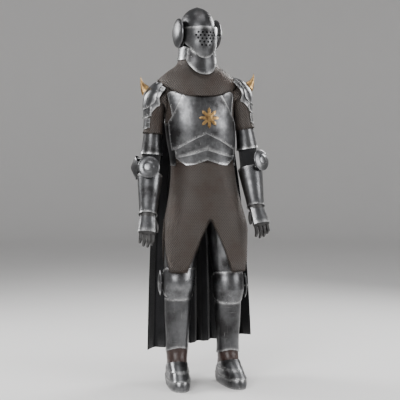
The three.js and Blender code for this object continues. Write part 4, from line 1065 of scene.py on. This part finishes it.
class ARMOUR_OT_rosette(bpy.types.Operator):
    """Gilt rosette on the chest, with a beaded ring round its boss"""
    bl_idname = "armour.rosette"
    bl_label = "Rosette"

    def execute(self, context):
        mesh = baked("rosette", prepare(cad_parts["chest_rosette"].data, None), bevelled)
        mesh.attributes.new("rim", "FLOAT", "POINT")
        smooth(mesh, 30)
        piece("rosette_gilt", mesh, "gilt", nodes=["chest_rosette"])
        low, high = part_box("chest_rosette")
        middle = (low + high) / 2
        points = []
        for bead in range(ROSETTE_BEADS):
            turn = 2 * math.pi * bead / ROSETTE_BEADS
            points.append(Vector((middle.x + ROSETTE_BEAD_RING * math.sin(turn), low.y + 0.0045,
                                  middle.z + ROSETTE_BEAD_RING * math.cos(turn))))
        lines = [(bead, (bead + 1) % ROSETTE_BEADS) for bead in range(ROSETTE_BEADS)]
        length = 2 * math.pi * ROSETTE_BEAD_RING / ROSETTE_BEADS
        along_lines("rosette_beads", [(points, lines)], "Rivet row",
                    {"Radius": 0.0019, "Spacing": length}, "gilt")
        return {"FINISHED"}


def bevelled(holder):
    made = holder.modifiers.new("edge", "BEVEL")
    made.width = 0.0012
    made.segments = 2
    made.limit_method = "ANGLE"
    made.angle_limit = math.radians(40)


class ARMOUR_OT_shoulders(bpy.types.Operator):
    """Pauldrons with their lames and gilt horns"""
    bl_idname = "armour.shoulders"
    bl_label = "Shoulders"

    def execute(self, context):
        for side in SIDES:
            names = ("pauldron", "pauldron_front_lame", "arm_lame_upper", "arm_lame_lower")
            plates(f"shoulder_{side}", {f"{name}_{side}": f"arm_{side}" for name in names})
            node = f"horn_{side}"
            mesh = wall_mesh(node, None)
            mesh.attributes.new("rim", "FLOAT", "POINT")
            smooth(mesh, 50)
            piece(f"{node}_gilt", mesh, "gilt", nodes=[node])
        return {"FINISHED"}


class ARMOUR_OT_arms(bpy.types.Operator):
    """Rerebraces, couters with their round plates, vambraces and hand plates"""
    bl_idname = "armour.arms"
    bl_label = "Arms"

    def execute(self, context):
        for side in SIDES:
            names = ("rerebrace", "vambrace", "couter", "couter_disc", "hand_plate")
            plates(f"arm_{side}", {f"{name}_{side}": f"arm_{side}" for name in names})
        return {"FINISHED"}


class ARMOUR_OT_legs(bpy.types.Operator):
    """Cuisses, poleyns with their wings, and greaves"""
    bl_idname = "armour.legs"
    bl_label = "Legs"

    def execute(self, context):
        for side in SIDES:
            names = ("cuisse", "poleyn", "poleyn_wing", "greave")
            plates(f"leg_{side}", {f"{name}_{side}": f"leg_{side}" for name in names})
        return {"FINISHED"}


# Stage
LENS = 90.9
TILT = math.radians(2.7)
SIDE_SHIFT = 0.0074
# Lights: name, place, target height, size, power.
LIGHTS = (
    ("key", (-2.6, -3.4, 1.2), -0.3, 2.2, 170),
    ("fill", (3.2, -2.2, 0.6), -0.4, 2.0, 90),
    ("edge_left", (-2.2, 1.6, 1.0), -0.3, 1.2, 80),
    ("edge_right", (2.2, 1.8, 1.0), -0.3, 1.2, 80),
    ("top", (0.0, -0.6, 2.6), 0.0, 2.0, 60),
)
SKY = (0.8, 0.81, 0.83, 1)
SKY_STRENGTH = 0.32
# The floor is a wide round bowl, in metres, so that it looks the same from every side.
FLOOR_HUB = 0.05
FLOOR_RADIUS = 8.0
FLOOR_BEND = 2.5
FLOOR_BEND_STEPS = 12
FLOOR_SIDES = 96
WALL_HEIGHT = 8.0


class ARMOUR_OT_stage(bpy.types.Operator):
    """Plain floor, soft lights and the camera"""
    bl_idname = "armour.stage"
    bl_label = "Stage"

    def execute(self, context):
        settings = context.scene.armour_stage
        self.floor(settings)
        for name, place, target, size, power in LIGHTS:
            data = bpy.data.lights.new(name, "AREA")
            data.size = size
            data.energy = power
            light = bpy.data.objects.new(name, data)
            light.location = place
            aim = Vector((0, 0, target)) - Vector(place)
            light.rotation_euler = aim.to_track_quat("-Z", "Y").to_euler()
            context.scene.collection.objects.link(light)
        world = bpy.data.worlds.new("studio")
        world.use_nodes = True
        background = world.node_tree.nodes["Background"]
        background.inputs["Color"].default_value = SKY
        background.inputs["Strength"].default_value = SKY_STRENGTH
        context.scene.world = world
        self.camera(context, settings)
        return {"FINISHED"}

    def floor(self, settings):
        material, nodes, shader = start_material("floor", 0.75)
        speck = nodes.noise(object_place(nodes), 3.0, 4.0)
        darker = [channel * 0.97 for channel in settings.floor]
        tint = nodes.mix(speck, colour(settings.floor), colour(darker))
        nodes.feed(shader.inputs["Base Color"], tint)
        work = bmesh.new()
        profile = [(FLOOR_HUB, 0.0), (FLOOR_RADIUS, 0.0)]
        for step in range(1, FLOOR_BEND_STEPS + 1):
            turn = math.pi / 2 * step / FLOOR_BEND_STEPS
            profile.append((FLOOR_RADIUS + FLOOR_BEND * math.sin(turn), FLOOR_BEND * (1 - math.cos(turn))))
        profile.append((FLOOR_RADIUS + FLOOR_BEND, WALL_HEIGHT))
        turns = [2 * math.pi * step / FLOOR_SIDES for step in range(FLOOR_SIDES)]
        rings = []
        for out, up in profile:
            ring = [(out * math.cos(turn), out * math.sin(turn), up + SOLE_HEIGHT) for turn in turns]
            rings.append([work.verts.new(place) for place in ring])
        work.faces.new(rings[0])
        for near, far in zip(rings, rings[1:]):
            for step in range(FLOOR_SIDES):
                after = (step + 1) % FLOOR_SIDES
                work.faces.new([near[step], far[step], far[after], near[after]])
        mesh = bpy.data.meshes.new("floor")
        work.to_mesh(mesh)
        work.free()
        mesh.shade_smooth()
        mesh.materials.append(material)
        made = bpy.data.objects.new("floor", mesh)
        bpy.context.scene.collection.objects.link(made)

    def camera(self, context, settings):
        data = bpy.data.cameras.new("camera")
        data.lens = LENS
        data.sensor_width = 36
        data.clip_end = 100
        camera = bpy.data.objects.new("camera", data)
        turn = settings.azimuth
        back = Vector((math.sin(turn), -math.cos(turn), 0))
        right = Vector((math.cos(turn), math.sin(turn), 0))
        camera.location = back * settings.distance + right * SIDE_SHIFT
        camera.location.z = SOLE_HEIGHT + settings.height
        ahead = -back * math.cos(TILT) + Vector((0, 0, -math.sin(TILT)))
        camera.rotation_euler = ahead.to_track_quat("-Z", "Y").to_euler()
        context.scene.collection.objects.link(camera)
        context.scene.camera = camera


SETTINGS = (
    ("armour_steel", SteelSettings),
    ("armour_gilt", GiltSettings),
    ("armour_mail", MailSettings),
    ("armour_cloth", ClothSettings),
    ("armour_stage", StageSettings),
)
OPERATORS = (
    ARMOUR_OT_stage,
    ARMOUR_OT_helmet,
    ARMOUR_OT_visor,
    ARMOUR_OT_trunk,
    ARMOUR_OT_rosette,
    ARMOUR_OT_shoulders,
    ARMOUR_OT_arms,
    ARMOUR_OT_gloves,
    ARMOUR_OT_legs,
    ARMOUR_OT_feet,
    ARMOUR_OT_cloth,
    ARMOUR_OT_mail,
    ARMOUR_OT_cape,
)


class ARMOUR_PT_panel(bpy.types.Panel):
    bl_label = "Armour"
    bl_idname = "ARMOUR_PT_panel"
    bl_space_type = "VIEW_3D"
    bl_region_type = "UI"
    bl_category = "Armour"

    def draw(self, context):
        for key, settings in SETTINGS:
            box = self.layout.box()
            for name in settings.__annotations__:
                box.prop(getattr(context.scene, key), name)
        for operator in OPERATORS:
            self.layout.operator(operator.bl_idname)


def register():
    for key, settings in SETTINGS:
        bpy.utils.register_class(settings)
        setattr(bpy.types.Scene, key, bpy.props.PointerProperty(type=settings))
    for operator in OPERATORS:
        bpy.utils.register_class(operator)
    bpy.utils.register_class(ARMOUR_PT_panel)


def unregister():
    bpy.utils.unregister_class(ARMOUR_PT_panel)
    for operator in reversed(OPERATORS):
        bpy.utils.unregister_class(operator)
    for key, settings in reversed(SETTINGS):
        delattr(bpy.types.Scene, key)
        bpy.utils.unregister_class(settings)


def main():
    register()
    for operator in OPERATORS:
        group, name = operator.bl_idname.split(".")
        getattr(getattr(bpy.ops, group), name)()


if __name__ == "__main__":
    main()
